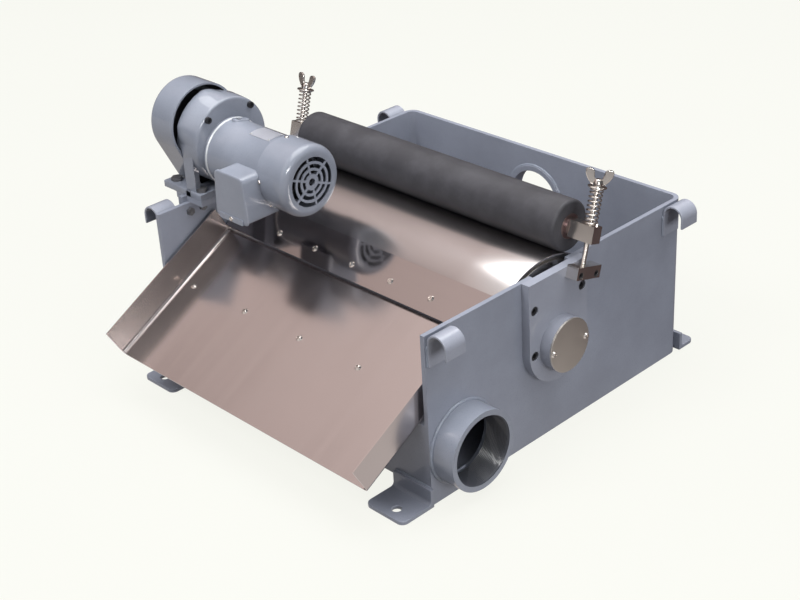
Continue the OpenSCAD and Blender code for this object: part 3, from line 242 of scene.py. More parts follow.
def dark_material(name, colour, roughness=0.5, metallic=0.6):
    """Blackened or oiled steel."""
    mat, tree, bsdf = new_material(name)
    place = coordinates(tree)
    spots = ramp(tree, noise(tree, place, 90.0, 5.0, 0.65), [(0.35, 0.0), (0.7, 1.0)])
    tone = mix(tree, spots, toned(colour, 0.7), toned(colour, 1.3))
    tree.links.new(tone, bsdf.inputs["Base Color"])
    bsdf.inputs["Metallic"].default_value = metallic
    bsdf.inputs["Roughness"].default_value = roughness
    bump(tree, bsdf, noise(tree, place, 800.0, 2.0, 0.5), 0.10, 0.0003)
    return mat


EVEN = (1, 1, 1)
finishes = {
    "enamel": enamel_material("enamel", (0.250, 0.268, 0.325)),
    "cast_enamel": enamel_material("cast_enamel", (0.236, 0.257, 0.311), 0.58, 0.5, 1.0),
    # Pale paint for the motor flange's rim chamfer: a painted highlight, and in part the bare edge where the
    # paint is chipped.
    "rim_highlight_and_wear": enamel_material("rim_highlight_and_wear", (0.74, 0.76, 0.78), 0.30, 0.3, 0.6),
    "weld": enamel_material("weld_enamel", (0.255, 0.282, 0.345), 0.34, 2.0),
    # Near-black copy of the enamel for the outlet's bore: painted shade inside the pipe.
    "bore_painted_shade": enamel_material("bore_painted_shade", (0.055, 0.06, 0.075), 0.50, 1.0),
    "hook_enamel": enamel_material("hook_enamel", (0.29, 0.306, 0.365), 0.55, 1.0, 0.8),
    "plate_tin": enamel_material("blank_plate", (0.33, 0.335, 0.375), 0.36, 0.5),
    "stainless": satin_material("stainless", (0.56, 0.51, 0.50), 0.26, (0.04, 1.0, 1.0), 0.08),
    "chute": satin_material("chute_stainless", (0.60, 0.545, 0.53), 0.19, (1.0, 0.04, 0.04), 0.07),
    "blade": satin_material("blade_stainless", (0.50, 0.455, 0.445), 0.10, (0.04, 1.0, 1.0), 0.05),
    "drum": satin_material("drum_stainless", (0.56, 0.53, 0.525), 0.22, (0.3, 1.0, 1.0), 0.10, 16.0, 0.0),
    "nickel": satin_material("nickel", (0.80, 0.76, 0.72), 0.20, EVEN, 0.08, 24.0),
    "cap": satin_material("cap_steel", (0.74, 0.70, 0.64), 0.42, EVEN, 0.06, 30.0),
    "hub": satin_material("hub_steel", (0.34, 0.27, 0.265), 0.34, EVEN, 0.15, 40.0),
    "polished": metal_material("polished_stainless", (0.74, 0.71, 0.68), 0.22, (1.0, 0.05, 0.05), 0.05, 0.10),
    "turned": metal_material("turned_steel", (0.66, 0.65, 0.63), 0.26, (1.0, 0.1, 0.1), 0.05, 0.10),
    "zinc": metal_material("zinc", (0.56, 0.57, 0.57), 0.36, EVEN, 0.06, 0.18),
    # Also used for the screw sockets, where the black is painted shade in the recess.
    "dark": dark_material("black_steel", (0.045, 0.045, 0.05)),
    "core": dark_material("core_steel", (0.16, 0.16, 0.17)),
    "magnet": dark_material("pressed_magnet", (0.11, 0.11, 0.115), 0.6, 0.3),
    "rubber": rubber_material("black_rubber"),
}
FINISH_OF_SLOT = {
    "enamel": "enamel", "stainless": "stainless", "polished_stainless": "polished", "nickel": "nickel",
    "zinc": "zinc", "black_steel": "dark", "rubber": "rubber", "magnet": "magnet", "bearing_steel": "turned",
}
FINISH_OF_NODE = {
    "gearbox": "cast_enamel", "motor_shell": "cast_enamel", "fan_cover": "cast_enamel",
    "chain_guard": "cast_enamel", "left_bearing_housing": "cast_enamel", "outlet_coupling": "cast_enamel",
    "bearing_plate": "hook_enamel", "bearing_cap": "cap", "roller_core": "hub", "scraper": "blade",
    "magnet_core": "core", "motor_mount_bolts": "core",
    **{"hook_" + corner: "hook_enamel" for corner in CORNERS},
}


def finish_nodes():
    """Every CAD node takes the finish of its name, or else of its slot."""
    slot_of = {s["node"]: s["material_slot"] for s in frame["record"]["subparts"]}
    for name, obj in nodes.items():
        key = FINISH_OF_NODE.get(name, FINISH_OF_SLOT[slot_of[name]])
        obj.data.materials.clear()
        obj.data.materials.append(finishes[key])


# Frames that put outlines in millimetres into the part's metres

ALONG_X = Matrix(((0, 0, 1), (1, 0, 0), (0, 1, 0)))
CHUTE_TURN = Matrix.Rotation(CHUTE_SLOPE, 3, "X")
ROD_TURN = Matrix.Rotation(-LEAN, 3, "X")


def placed(x=0.0, y=0.0, z=0.0, turn=None):
    """Frame with its origin at a point in millimetres; turn is a rotation matrix."""
    m = Matrix.Translation((x * mm, y * mm, z * mm))
    if turn is not None:
        m = m @ turn.to_4x4()
    return m @ Matrix.Diagonal((mm, mm, mm, 1.0))


def rod_frame(side):
    """Frame on a tension rod, its Z axis along the rod and its origin on the roller's axis."""
    return placed(ROD_X[side], ROLLER_Y, ROLLER_Z, ROD_TURN)


def on_motor(x, r, a):
    """Frame at radius r and angle a round the motor's axis, its Z axis pointing outwards."""
    turn = Matrix.Rotation(a - math.pi / 2, 3, "X")
    return placed(x, MOTOR_Y + r * math.cos(a), MOTOR_Z + r * math.sin(a), turn)


def across_x(x, y, z, r, a):
    """Point in metres at radius r and angle a round a centre in millimetres, in a plane across X."""
    return Vector((x * mm, (y + r * math.cos(a)) * mm, (z + r * math.sin(a)) * mm))


# Mesh helpers

def round_angles(count):
    return [2 * math.pi * i / count for i in range(count)]


def add_ring(bm, points):
    return [bm.verts.new(p) for p in points]


def bridge(bm, a, b, closed=True):
    """Faces between two rows of vertices of one length."""
    n = len(a)
    for i in range(n if closed else n - 1):
        j = (i + 1) % n
        bm.faces.new((a[i], a[j], b[j], b[i]))


def skin(bm, rings, closed=False, ends=False):
    """Faces from ring to ring, back to the first if closed, and over both ends if ends is set."""
    for a, b in zip(rings, rings[1:] + (rings[:1] if closed else [])):
        bridge(bm, a, b)
    if ends:
        bm.faces.new(rings[0])
        bm.faces.new(rings[-1])


def build(name, bm, finish, body, replaces=(), sharp=34, bevel=0.0):
    """Close up a mesh, mark its hard edges and hang it on a body."""
    bmesh.ops.remove_doubles(bm, verts=bm.verts, dist=2e-6)
    bmesh.ops.recalc_face_normals(bm, faces=bm.faces)
    for face in bm.faces:
        face.smooth = True
    limit = math.radians(sharp)
    for edge in bm.edges:
        if len(edge.link_faces) == 2:
            edge.smooth = edge.calc_face_angle(0.0) < limit
    mesh = bpy.data.meshes.new(name)
    bm.to_mesh(mesh)
    bm.free()
    mesh.materials.append(finishes[finish])
    obj = bpy.data.objects.new(name, mesh)
    bpy.context.scene.collection.objects.link(obj)
    if bevel:
        mod = obj.modifiers.new("eased", "BEVEL")
        mod.width = bevel * mm
        mod.segments = 2
        mod.limit_method = "ANGLE"
        mod.angle_limit = math.radians(40)
        mod.harden_normals = True
    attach(obj, body)
    if replaces:
        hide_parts(*replaces)
    return obj


def fillet(points, radii, steps):
    """Round the inner corners of an open path of 2-D points; radii is one radius, or one for each."""
    out = [Vector(points[0])]
    for k in range(1, len(points) - 1):
        p, q, r = Vector(points[k - 1]), Vector(points[k]), Vector(points[k + 1])
        radius = radii[k - 1] if isinstance(radii, list) else radii
        u, v = (p - q).normalized(), (r - q).normalized()
        reach = radius / math.tan(u.angle(v) / 2)
        reach = min(reach, 0.49 * (p - q).length, 0.49 * (r - q).length)
        a, c = q + u * reach, q + v * reach
        for i in range(steps + 1):
            t = i / steps
            out.append((1 - t) ** 2 * a + 2 * t * (1 - t) * q + t ** 2 * c)
    out.append(Vector(points[-1]))
    return out


def smooth_loop(points, times):
    """Corner cutting of a closed outline, a quarter of each edge at a time."""
    pts = [Vector(p) for p in points]
    for _ in range(times):
        pts = [q for a, b in zip(pts, pts[1:] + pts[:1]) for q in (a.lerp(b, 0.25), a.lerp(b, 0.75))]
    return pts


def lathe(bm, profile, at, count=96, closed=False):
    """Turn a profile of (height, radius) points about the frame's Z axis."""
    rings = []
    for h, r in profile:
        ring = [at @ Vector((r * math.cos(a), r * math.sin(a), h)) for a in round_angles(count)]
        rings.append(add_ring(bm, ring))
    skin(bm, rings, closed)


def prism(bm, outline, at, low, high, cuts=1):
    """Closed outline of (u, v) points in the frame's X and Z, run along its Y from low to high."""
    rings = []
    for k in range(cuts + 1):
        y = low + (high - low) * k / cuts
        rings.append(add_ring(bm, [at @ Vector((u, y, v)) for u, v in outline]))
    skin(bm, rings, ends=True)


def tube(bm, path, radii, at, count, closed=False):
    """Round bar along a path of 3-D points; radii is one radius, or one for each point."""
    pts = [Vector(p) for p in path]
    n = len(pts)
    rings = []
    side = None
    for i, p in enumerate(pts):
        before = pts[(i - 1) % n] if closed or i else p
        after = pts[(i + 1) % n] if closed or i < n - 1 else p
        along = (after - before).normalized()
        if side is None:
            side = along.orthogonal().normalized()
        side = (side - along * side.dot(along)).normalized()
        other = along.cross(side)
        r = radii[i] if isinstance(radii, list) else radii
        rings.append(add_ring(bm, [at @ (p + r * (math.cos(a) * side + math.sin(a) * other))
                                   for a in round_angles(count)]))
    skin(bm, rings, ends=not closed)
    if closed:
        turn = min(range(count), key=lambda k: (rings[0][k].co - rings[-1][0].co).length)
        bridge(bm, rings[-1], rings[0][turn:] + rings[0][:turn])


def resample(path, step, closed=False):
    """Points about a step apart along a path."""
    pts = [Vector(p) for p in path] + ([Vector(path[0])] if closed else [])
    out = [pts[0]]
    for a, b in zip(pts, pts[1:]):
        k = max(1, round((b - a).length / step))
        out += [a.lerp(b, i / k) for i in range(1, k + 1)]
    return out[:-1] if closed else out


def ridge(turns):
    """Height of a thread's ridge, from nothing to one, at a number of turns along it."""
    return 1 - abs(2 * (turns % 1.0) - 1)


# Sheet work, drum and roller

def bent_chute():
    """Discharge chute folded from one sheet, with real bends at its two flanges."""
    h, top, t = SIDE_HALF, 42.0, 2.0
    outer = fillet([(-h, top), (-h, -t), (h, -t), (h, top)], 9.5, 12)
    inner = fillet([(h - t, top), (h - t, 0), (t - h, 0), (t - h, top)], 7.5, 12)
    bm = bmesh.new()
    prism(bm, outer + inner, placed(0, CHUTE_Y, CHUTE_Z, CHUTE_TURN), 0.0, 221.5, 12)
    build("chute_sheet", bm, "chute", "frame", ("chute",))


def turned_drum():
    """Drum shell rolled from sheet and turned, its rims broken by a small radius."""
    h, r, w = SIDE_HALF, DRUM_R, 2.0
    profile = [(-h, r - w), (-h, r - 0.7), (-h + 0.2, r - 0.2), (-h + 0.7, r)]
    profile += [(-h + 0.7 + (2 * h - 1.4) * k / 6, r) for k in range(1, 6)]
    profile += [(h - 0.7, r), (h - 0.2, r - 0.2), (h, r - 0.7), (h, r - w)]
    bm = bmesh.new()
    lathe(bm, profile, placed(0, DRUM_Y, DRUM_Z, ALONG_X), 180, True)
    build("drum_skin", bm, "drum", "drum", ("drum_shell",))


def rubber_roller():
    """Rubber cover with rounded shoulders and a ground face."""
    a, b, r, bore = ROLLER_END["left"], ROLLER_END["right"], ROLLER_R, 16.0
    shoulder = [(0.0, r - 4.0), (0.4, r - 2.4), (1.5, r - 1.0), (3.0, r - 0.2), (4.6, r)]
    profile = [(a, bore)] + [(a + x, y) for x, y in shoulder]
    profile += [(a + 4.6 + (b - a - 9.2) * k / 8, r) for k in range(1, 8)]
    profile += [(b - x, y) for x, y in reversed(shoulder)] + [(b, bore)]
    bm = bmesh.new()
    lathe(bm, profile, placed(0, ROLLER_Y, ROLLER_Z, ALONG_X), 128, True)
    build("roller_rubber", bm, "rubber", "roller", ("roller_sleeve",))


# Tension gear

def coil(side, part):
    """Round-wire spring in two halves; this builds the half that part names."""
    low, high, radius, wire = SPRING_Z, WASHER_Z, 7.6, 1.0
    turns, flat = 9.0, 0.75
    mid, half = (low + high) / 2, (high - low) / 2
    climb = (high - low - 5 * wire) / (turns - 2 * flat)
    steps = int(turns * 28)
    start = {"right": 0.6, "left": 2.1}[side]
    pts = []
    for i in range(steps + 1):
        n = turns * i / steps
        rise = 2 * wire * (min(n, flat) + max(n - turns + flat, 0))
        rise += climb * min(max(n - flat, 0), turns - 2 * flat)
        z = min(low + wire + rise, high - wire)
        if (z <= mid + 0.3) if part == "low" else (z >= mid - 0.3):
            a = 2 * math.pi * n + start
            pts.append((radius * math.cos(a), radius * math.sin(a), z))
    at = rod_frame(side)
    bm = bmesh.new()
    tube(bm, pts, wire, at, 10)
    obj = build("spring_wire_%s_%s" % (side, part), bm, "nickel", "frame", sharp=60)
    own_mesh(obj)
    return obj


def threaded_rod(side):
    """Rolled thread: shallow ridges that climb the rod."""
    low = {"right": -51.0, "left": -39.0}[side]
    high = NUT_Z + 9.0
    pitch, count, rows_a_turn = 1.25, 20, 5
    rows = int((high - low) / pitch * rows_a_turn)
    at = rod_frame(side)
    bm = bmesh.new()
    rings = []
    for k in range(rows + 1):
        z = low + (high - low) * k / rows
        ring = []
        for i, a in enumerate(round_angles(count)):
            r = 3.2 - 0.42 * ridge((z - low) / pitch - i / count)
            if z > high - 0.8:
                r = min(r, 2.7)
            ring.append(at @ Vector((r * math.cos(a), r * math.sin(a), z)))
        rings.append(add_ring(bm, ring))
    skin(bm, rings, ends=True)
    build("thread_" + side, bm, "nickel", "frame", ("spring_rod_" + side,), sharp=70)


def wing_nut(side):
    """Forged wing nut: a coned hub and two thin rounded wings."""
    turn = {"right": math.radians(42), "left": 0.0}[side]
    at = placed(ROD_X[side], ROLLER_Y, ROLLER_Z, ROD_TURN @ Matrix.Rotation(turn, 3, "Z"))
    z = NUT_Z
    hub = fillet([(z, 3.3), (z, 6.6), (z + 4, 6.2), (z + 8, 4.9), (z + 8, 3.3)], [0.7, 2.0, 1.2], 4)
    bm = bmesh.new()
    lathe(bm, hub, at, 40, True)
    outline = [(3.4, 0.8), (8.0, 1.8), (12.2, 6.0), (15.6, 11.6), (17.0, 16.4), (16.0, 20.0),
               (12.6, 21.2), (8.2, 20.4), (6.0, 17.6), (5.6, 13.0), (4.6, 10.2), (3.4, 8.4)]
    centre = sum((Vector(p) for p in outline), Vector((0, 0))) / len(outline)
    for sign in (1, -1):
        rings = []
        for y, grow in ((-1.5, -1.1), (-1.5, -0.9), (-0.9, 0.0), (0.9, 0.0), (1.5, -0.9), (1.5, -1.1)):
            ring = []
            for q in smooth_loop(outline, 3):
                d = q - centre
                d = d * (1 + grow / max(d.length, 1e-3))
                ring.append(at @ Vector((sign * (centre.x + d.x), y, z + centre.y + d.y)))
            rings.append(add_ring(bm, ring))
        skin(bm, rings, ends=True)
    build("wings_" + side, bm, "nickel", "nut_%s_body" % side, ("wing_nut_" + side,), sharp=50)


def spring_washer(side):
    """Turned washer that covers the spring's end."""
    profile = fillet([(WASHER_Z, 3.5), (WASHER_Z, 11.6), (NUT_Z, 11.6), (NUT_Z, 3.5)], [0.3, 0.5], 3)
    bm = bmesh.new()
    lathe(bm, profile, rod_frame(side), 64, True)
    build("washer_disc_" + side, bm, "nickel", "washer_%s_body" % side, ("washer_" + side,), sharp=50)


# Motor

def turned_motor():
    """Motor frame: mounting flange whose rim chamfer is in pale paint (painted highlight, partly the chipped
    bare edge), shell and rear end bell.
    """
    r, bell = MOTOR_R, COVER_R - 2.0
    profile = [(0.0, 6.3), (0.0, 46.5), (3.8, 46.5), (4.6, 46.2), (5.0, 45.4), (5.2, 44.9), (6.4, r),
               (58.0, r), (102.0, r), (102.6, r + 0.3), (103.0, bell), (116.6, bell),
               (117.0, bell - 0.6), (117.0, 6.3)]
    bm = bmesh.new()
    lathe(bm, profile, placed(FACE_X, MOTOR_Y, MOTOR_Z, ALONG_X), 128, True)
    obj = build("motor_frame", bm, "cast_enamel", "frame", ("motor_shell",), sharp=50)
    # The rim chamfer takes the pale paint: painted highlight and chipped edge together.
    obj.data.materials.append(finishes["rim_highlight_and_wear"])
    for face in obj.data.polygons:
        if FACE_X + 3.7 < face.center.x / mm < FACE_X + 5.3:
            face.material_index = 1


def motor_plate():
    """Bare data plate rolled to the shell and held by four small rivets."""
    x0, x1, a0, a1 = FACE_X + 58, FACE_X + 97, math.radians(73), math.radians(107)
    steps = 16
    bm = bmesh.new()
    under, over = [[[bm.verts.new(across_x(x, MOTOR_Y, MOTOR_Z, r, a0 + (a1 - a0) * i / steps))
                     for x in (x0, x0 + 1.5, x1 - 1.5, x1)]
                    for i in range(steps + 1)]
                   for r in (MOTOR_R - 0.2, MOTOR_R + 0.45)]
    for k in range(steps):
        bridge(bm, over[k], over[k + 1], False)
        for j in (0, 3):
            bm.faces.new((under[k][j], under[k + 1][j], over[k + 1][j], over[k][j]))
    for k in (0, steps):
        bridge(bm, under[k], over[k], False)
    build("data_plate_blank", bm, "plate_tin", "frame", bevel=0.15)
    bm = bmesh.new()
    for x in (x0 + 2.4, x1 - 2.4):
        for a in (a0 + 0.055, a1 - 0.055):
            at = on_motor(x, MOTOR_R + 0.3, a)
            lathe(bm, [(0, 1.35), (0.35, 1.3), (0.75, 0.9), (0.95, 0.35), (1.0, 0.01)], at, 14)
    build("data_plate_rivets", bm, "zinc", "frame", sharp=60)


def motor_pad():
    """Raised long pad on the flange end of the shell, with a sunk socket plug in its round hole."""
    at = on_motor(FACE_X + 12.5, MOTOR_R - 1.5, math.radians(76))
    hole_y = -3.0
    bm = bmesh.new()
    rings = []
    for h, r in ((0, 7.0), (2.4, 6.7), (3.1, 6.2), (3.3, 5.2)):
        ring = []
        for a in round_angles(48):
            stretch = 6.0 * max(-1.0, min(1.0, 2.2 * math.sin(a)))
            ring.append(at @ Vector((r * math.cos(a), r * math.sin(a) + stretch, h)))
        rings.append(add_ring(bm, ring))
    for h, r in ((3.3, 4.2), (1.6, 3.8), (1.6, 1.6)):
        ring = [at @ Vector((r * math.cos(a), r * math.sin(a) + hole_y, h)) for a in round_angles(48)]
        rings.append(add_ring(bm, ring))
    skin(bm, rings)
    bm.faces.new(rings[-1])
    build("motor_pad", bm, "cast_enamel", "frame", sharp=45)
    bm = bmesh.new()
    lathe(bm, [(1.5, 3.5), (2.5, 3.5), (2.7, 3.2), (2.7, 1.8), (1.9, 1.7), (1.9, 0.01)],
          at @ Matrix.Translation((0, hole_y, 0)), 24)
    build("motor_pad_plug", bm, "dark", "frame", sharp=45)


def terminal_box():
    """Cast terminal box: rounded body that narrows to its top, with a lipped cover and its screw."""
    base, front = FACE_X + 55.0, MOTOR_Y - MOTOR_R - 30.0
    low, high = MOTOR_Z - 47.0, MOTOR_Z + 15.0
    half_w, half_h = 30.5, (high - low) / 2
    centre = Vector((base + half_w, low + half_h))
    outline = fillet([(base + 30, low), (base + 61, low), (base + 57, high), (base + 4, high),
                      (base, low), (base + 30, low)], [7.0, 9.0, 9.0, 7.0], 6)[:-1]

    def shell(bm, places):
        """Outline at each (y, grow) in turn, grow millimetres wider all round."""
        rings = []
        for y, grow in places:
            rings.append(add_ring(bm, [
                Vector((q.x + grow * (q.x - centre.x) / half_w, y, q.y + grow * (q.y - centre.y) / half_h)) * mm
                for q in outline]))
        skin(bm, rings, ends=True)

    bm = bmesh.new()
    shell(bm, ((front + 3.0, -0.5), (front + 3.2, 0.0), (front + 20.0, 0.0), (MOTOR_Y - 22.0, 0.0)))
    build("terminal_box", bm, "cast_enamel", "frame", ("conduit_box",), sharp=60)
    bm = bmesh.new()
    shell(bm, ((front + 2.9, 0.6), (front + 2.7, 1.2), (front + 1.4, 1.3), (front + 0.5, 0.6),
               (front + 0.1, -0.6), (front, -2.2)))
    x, top, foot = centre.x, low + 6, low - 1.4
    tab = fillet([(x - 10, top), (x - 23, top), (x - 23, foot), (x + 23, foot), (x + 23, top), (x - 10, top)],
                 1.5, 4)[:-1]
    prism(bm, tab, placed(), front - 1.4, front + 0.6)
    build("terminal_lid", bm, "cast_enamel", "frame", ("conduit_cover",), sharp=44)
    bm = bmesh.new()
    at = placed(x, front - 1.3, low + 2.3, Matrix.Rotation(math.pi / 2, 3, "X"))
    lathe(bm, [(0, 3.1), (0.8, 3.0), (1.5, 2.3), (1.7, 1.2), (1.1, 1.0), (1.1, 0.01)], at, 20)
    build("terminal_lid_screw", bm, "nickel", "frame", sharp=50)


def cover_screws():
    """Pan-head screws that hold the fan cover to the end bell."""
    bm = bmesh.new()
    for degrees in (86, 176, 224, 356):
        at = on_motor(FACE_X + 113.0, COVER_R - 0.2, math.radians(degrees))
        lathe(bm, [(0, 2.9), (0.9, 2.8), (1.6, 2.2), (1.9, 1.4), (1.95, 0.9), (1.2, 0.8), (1.2, 0.01)], at, 18)
    build("fan_cover_screws", bm, "nickel", "frame", sharp=50)


# Screw heads, thread and welds

def islands(bm):
    """Places of the vertices of each loose piece of a mesh."""
    left = set(bm.verts)
    while left:
        stack, island = [left.pop()], []
        while stack:
            vert = stack.pop()
            island.append(vert.co)
            for edge in vert.link_edges:
                other = edge.other_vert(vert)
                if other in left:
                    left.remove(other)
                    stack.append(other)
        yield island


def round_heads(node, turn, radius):
    """Round screw heads with a sunk hexagon socket, set on each screw of a CAD node; the socket is black steel
    as painted shade in the recess.
    """
    cad = nodes[node]
    screws = bmesh.new()
    screws.from_mesh(cad.data)
    screws.transform(cad.matrix_world)
    bmesh.ops.remove_doubles(screws, verts=screws.verts, dist=2e-6)
    normal = turn @ Vector((0, 0, 1))
    heads, painted_shade_sockets = bmesh.new(), bmesh.new()
    for island in islands(screws):
        high = max(co.dot(normal) for co in island)
        face = [co for co in island if co.dot(normal) > high - 1e-5]
        top = sum(face, Vector()) / len(face)
        at = Matrix.Translation(top) @ turn.to_4x4() @ Matrix.Diagonal((mm, mm, mm, 1.0))
        dome = ((-2.9, 0.6), (-2.9, 1.0), (-2.2, 0.99), (-1.2, 0.90), (-0.4, 0.72), (0.15, 0.50), (0.3, 0.44))
        lathe(heads, [(h, share * radius) for h, share in dome], at, 24)
        lathe(painted_shade_sockets, [(0.3, 0.44 * radius), (-1.4, 0.42 * radius), (-1.5, 0.01)], at, 6)
    screws.free()
    build(node + "_heads", heads, "nickel", "frame", sharp=60)
    build(node + "_sockets", painted_shade_sockets, "dark", "frame", sharp=30)


def outlet_thread():
    """Pipe thread inside the outlet, with a plain start at its mouth, in near-black enamel that is painted
    shade in the bore.
    """
    end, start, pitch, r = HALF_W + 34.4, HALF_W - 2.0, 2.3, 44.5 - 0.05
    count, rows_a_turn = 128, 6
    rows = int((end - start) / pitch * rows_a_turn)
    bm = bmesh.new()
    rings = []
    for k in range(rows + 1):
        x = end - (end - start) * k / rows
        deep = 1.25 if x < end - 1.2 else 0.0
        rings.append(add_ring(bm, [
            across_x(x, OUTLET_Y, OUTLET_Z, r - deep * ridge((end - x) / pitch - i / count), a)
            for i, a in enumerate(round_angles(count))]))
    skin(bm, rings)
    build("outlet_thread", bm, "bore_painted_shade", "frame", sharp=80)


def weld_bead(name, path, width, closed=False):
    """Painted fillet weld: a soft bead with the ripples of its puddles, run out at open ends."""
    pts = resample(path, 0.9, closed)
    radii = []
    for i in range(len(pts)):
        puddle = 0.10 * abs(math.sin(i * 0.9 * math.pi / 3.1))
        drift = 0.07 * math.sin(i * 0.37 + 1.3 * math.sin(i * 0.11))
        radii.append(width * (0.92 + puddle + drift))
    if not closed:
        for k in range(min(3, len(radii))):
            radii[k] *= 0.5 + 0.17 * k
            radii[-1 - k] *= 0.5 + 0.17 * k
    bm = bmesh.new()
    tube(bm, pts, radii, placed(), 8, closed)
    build(name, bm, "weld", "frame", sharp=80)


def circle_path(x, y, z, r, axis):
    """Circle of points in millimetres round a centre, across the axis."""
    turns = [(r * math.cos(a), r * math.sin(a)) for a in round_angles(120)]
    return [(x, y + c, z + s) if axis == "x" else (x + c, y, z + s) for c, s in turns]


def all_welds():
    """Beads round the outlet and the inlet, at the hooks' feet, on the feet and along the floor."""
    weld_bead("weld_outlet", circle_path(HALF_W + 0.8, OUTLET_Y, OUTLET_Z, 52.2, "x"), 2.3, True)
    weld_bead("weld_inlet_back", circle_path(0, REAR_Y + 0.6, INLET_Z, 48.9, "y"), 2.0, True)
    weld_bead("weld_inlet_front", circle_path(0, REAR_Y - PLATE - 0.5, INLET_Z, 48.8, "y"), 1.8, True)
    low, high = 186.6, 214.5
    for sign, side in ((1, "right"), (-1, "left")):
        x = sign * (HALF_W + 0.5)
        for end, y0, y1 in (("front", FRONT_Y + 3, FRONT_Y + 34), ("rear", REAR_Y - 43, REAR_Y - 12)):
            path = [(x, y0, high), (x, y0, low + 1), (x, y0 + 1, low),
                    (x, y1 - 1, low), (x, y1, low + 1), (x, y1, high)]
            weld_bead("weld_hook_%s_%s" % (end, side), path, 1.5)
    for sign, side in ((1, "right"), (-1, "left")):
        x, z = sign * (HALF_W + 3.5 - 63.0), 25.0
        for end, y, inset in (("front", FRONT_Y - 0.4, 1.0), ("rear", REAR_Y + 0.4, 16.0)):
            path = [(x, y, z), (sign * (HALF_W - inset), y, z)]
            weld_bead("weld_foot_%s_%s" % (end, side), path, 1.5)
        x, z = sign * (INNER_W - 0.6), 20.4
        weld_bead("weld_floor_" + side, [(x, FRONT_Y + 8, z), (x, REAR_Y - 16, z)], 2.0)


# Gear case

def guard_reach(angle, limit):
    """How far a ray from the gearbox's axis runs before it meets the inside of the guard."""
    top, low = Vector((OUTPUT_Y, OUTPUT_Z)), Vector((DRUM_Y, DRUM_Z))
    r_top, r_low = 49.0, 72.0
    way, run = (low - top).normalized(), (low - top).length
    lean = (r_low - r_top) / run
    ray = Vector((math.cos(angle), math.sin(angle)))
    step, reach = 0.25, 0.0
    while reach < limit + 0.2:
        q = Vector((GEARBOX_Y, GEARBOX_Z)) + ray * (reach + step) - top
        along = q.dot(way)
        aside = abs(q.dot(Vector((-way.y, way.x))))
        t = max(0.0, min(run, along + aside * lean / math.sqrt(1 - lean * lean)))
        if (q - way * t).length > r_top + (r_low - r_top) * t / run:
            break
        reach += step
    return min(reach, limit)


def gear_case():
    """Round case, hollowed towards the motor and flared on its seen side where the guard is wider."""
    profile = [(0.0, 8.5), (0.0, 58.6), (0.4, 59.2), (1.2, 59.5), (15.0, 58.9), (28.6, 58.0),
               (30.4, 57.6), (31.4, 56.7), (31.9, 55.4), (32.0, 54.0), (32.0, 30.0), (14.0, 8.5)]
    guard_radius, most = 64.0, 9.0
    flares = []
    for a in round_angles(160):
        seen = min(1.0, max(0.0, (a - 0.35) / 0.5)) * min(1.0, max(0.0, (4.2 - a) / 0.4))
        flares.append(seen * max(0.0, min(most, guard_reach(a, 80.0) - guard_radius)))
    bm = bmesh.new()
    rings = []
    for x, r in profile:
        share = max(0.0, 1 - x / 30.0) ** 1.2 if r > 50 else 0.0
        rings.append(add_ring(bm, [across_x(-HALF_W + x, GEARBOX_Y, GEARBOX_Z, r + flare * share, a)
                                   for flare, a in zip(flares, round_angles(160))]))
    skin(bm, rings, closed=True)
    build("gear_case", bm, "cast_enamel", "frame", ("gearbox",), sharp=46)


def gear_case_boss():
    """Step of the case that fits inside the guard, with a hole for the output shaft."""
    bm = bmesh.new()
    rings = []
    for x, cut in ((-8.0, 1.4), (-7.4, 0.4), (-6.4, 0.0), (0.2, 0.0)):
        rings.append(add_ring(bm, [
            across_x(-HALF_W + x, GEARBOX_Y, GEARBOX_Z, guard_reach(a, 59.3) - cut, a)
            for a in round_angles(160)]))
    for x in (0.2, -8.0):
        rings.append(add_ring(bm, [across_x(-HALF_W + x, OUTPUT_Y, OUTPUT_Z, 9.5, a)
                                   for a in round_angles(160)]))
    skin(bm, rings, closed=True)
    build("gear_case_boss", bm, "cast_enamel", "frame", sharp=46)


def gear_case_feet():
    """Foot and lug that stand on the mount, and a web at each end of the foot."""
    base_y, base_z = FRONT_Y + 52.0, TANK_H + 8.0
    across = Matrix(((0, 1, 0), (1, 0, 0), (0, 0, 1)))
    for name, x, length, width in (("foot", 0.0, 112.0, 32.0), ("lug", -48.0, 23.0, 58.0)):
        slab = fillet([(0.0, 4.5), (0.0, 9.0), (length, 9.0), (length, 0.0), (0.0, 0.0), (0.0, 4.5)],
                      [1.6, 1.6, 0.6, 0.6], 3)[:-1]
        bm = bmesh.new()
        prism(bm, slab, placed(-HALF_W + x, base_y, base_z, across), 0.0, width)
        build("gear_case_" + name, bm, "cast_enamel", "frame", bevel=0.8)
    web = fillet([(0.0, 40.0), (0.0, 0.0), (20.0, 0.0), (21.0, 67.0), (0.0, 67.0), (0.0, 40.0)],
                 [0.5, 2.0, 2.0, 0.5], 3)[:-1]
    for name, y in (("front", base_y + 2), ("rear", base_y + 102)):
        bm = bmesh.new()
        prism(bm, web, placed(-HALF_W, y, base_z + 0.5), 0.0, 8.0)
        build("gear_case_web_" + name, bm, "cast_enamel", "frame", bevel=1.0)


# Edges of the CAD nodes, and how far each is broken, in millimetres

BEVELS = {
    "tank_shell": 0.9, "front_wall": 0.6, "outlet_coupling": 1.0, "inlet_collar": 0.8, "bearing_plate": 1.4,
    "bearing_cap": 0.5, "left_bearing_housing": 1.2, "motor_mount": 0.9, "chain_guard": 0.5,
    "scraper_support": 0.4, "drum_ends": 0.5,
    **{"bearing_block_" + side: 0.8 for side in SIDES},
    **{"rod_bracket_" + side: 0.7 for side in SIDES},
    **{"hook_" + corner: 0.9 for corner in CORNERS},
    **{"foot_" + corner: 0.9 for corner in CORNERS},
}


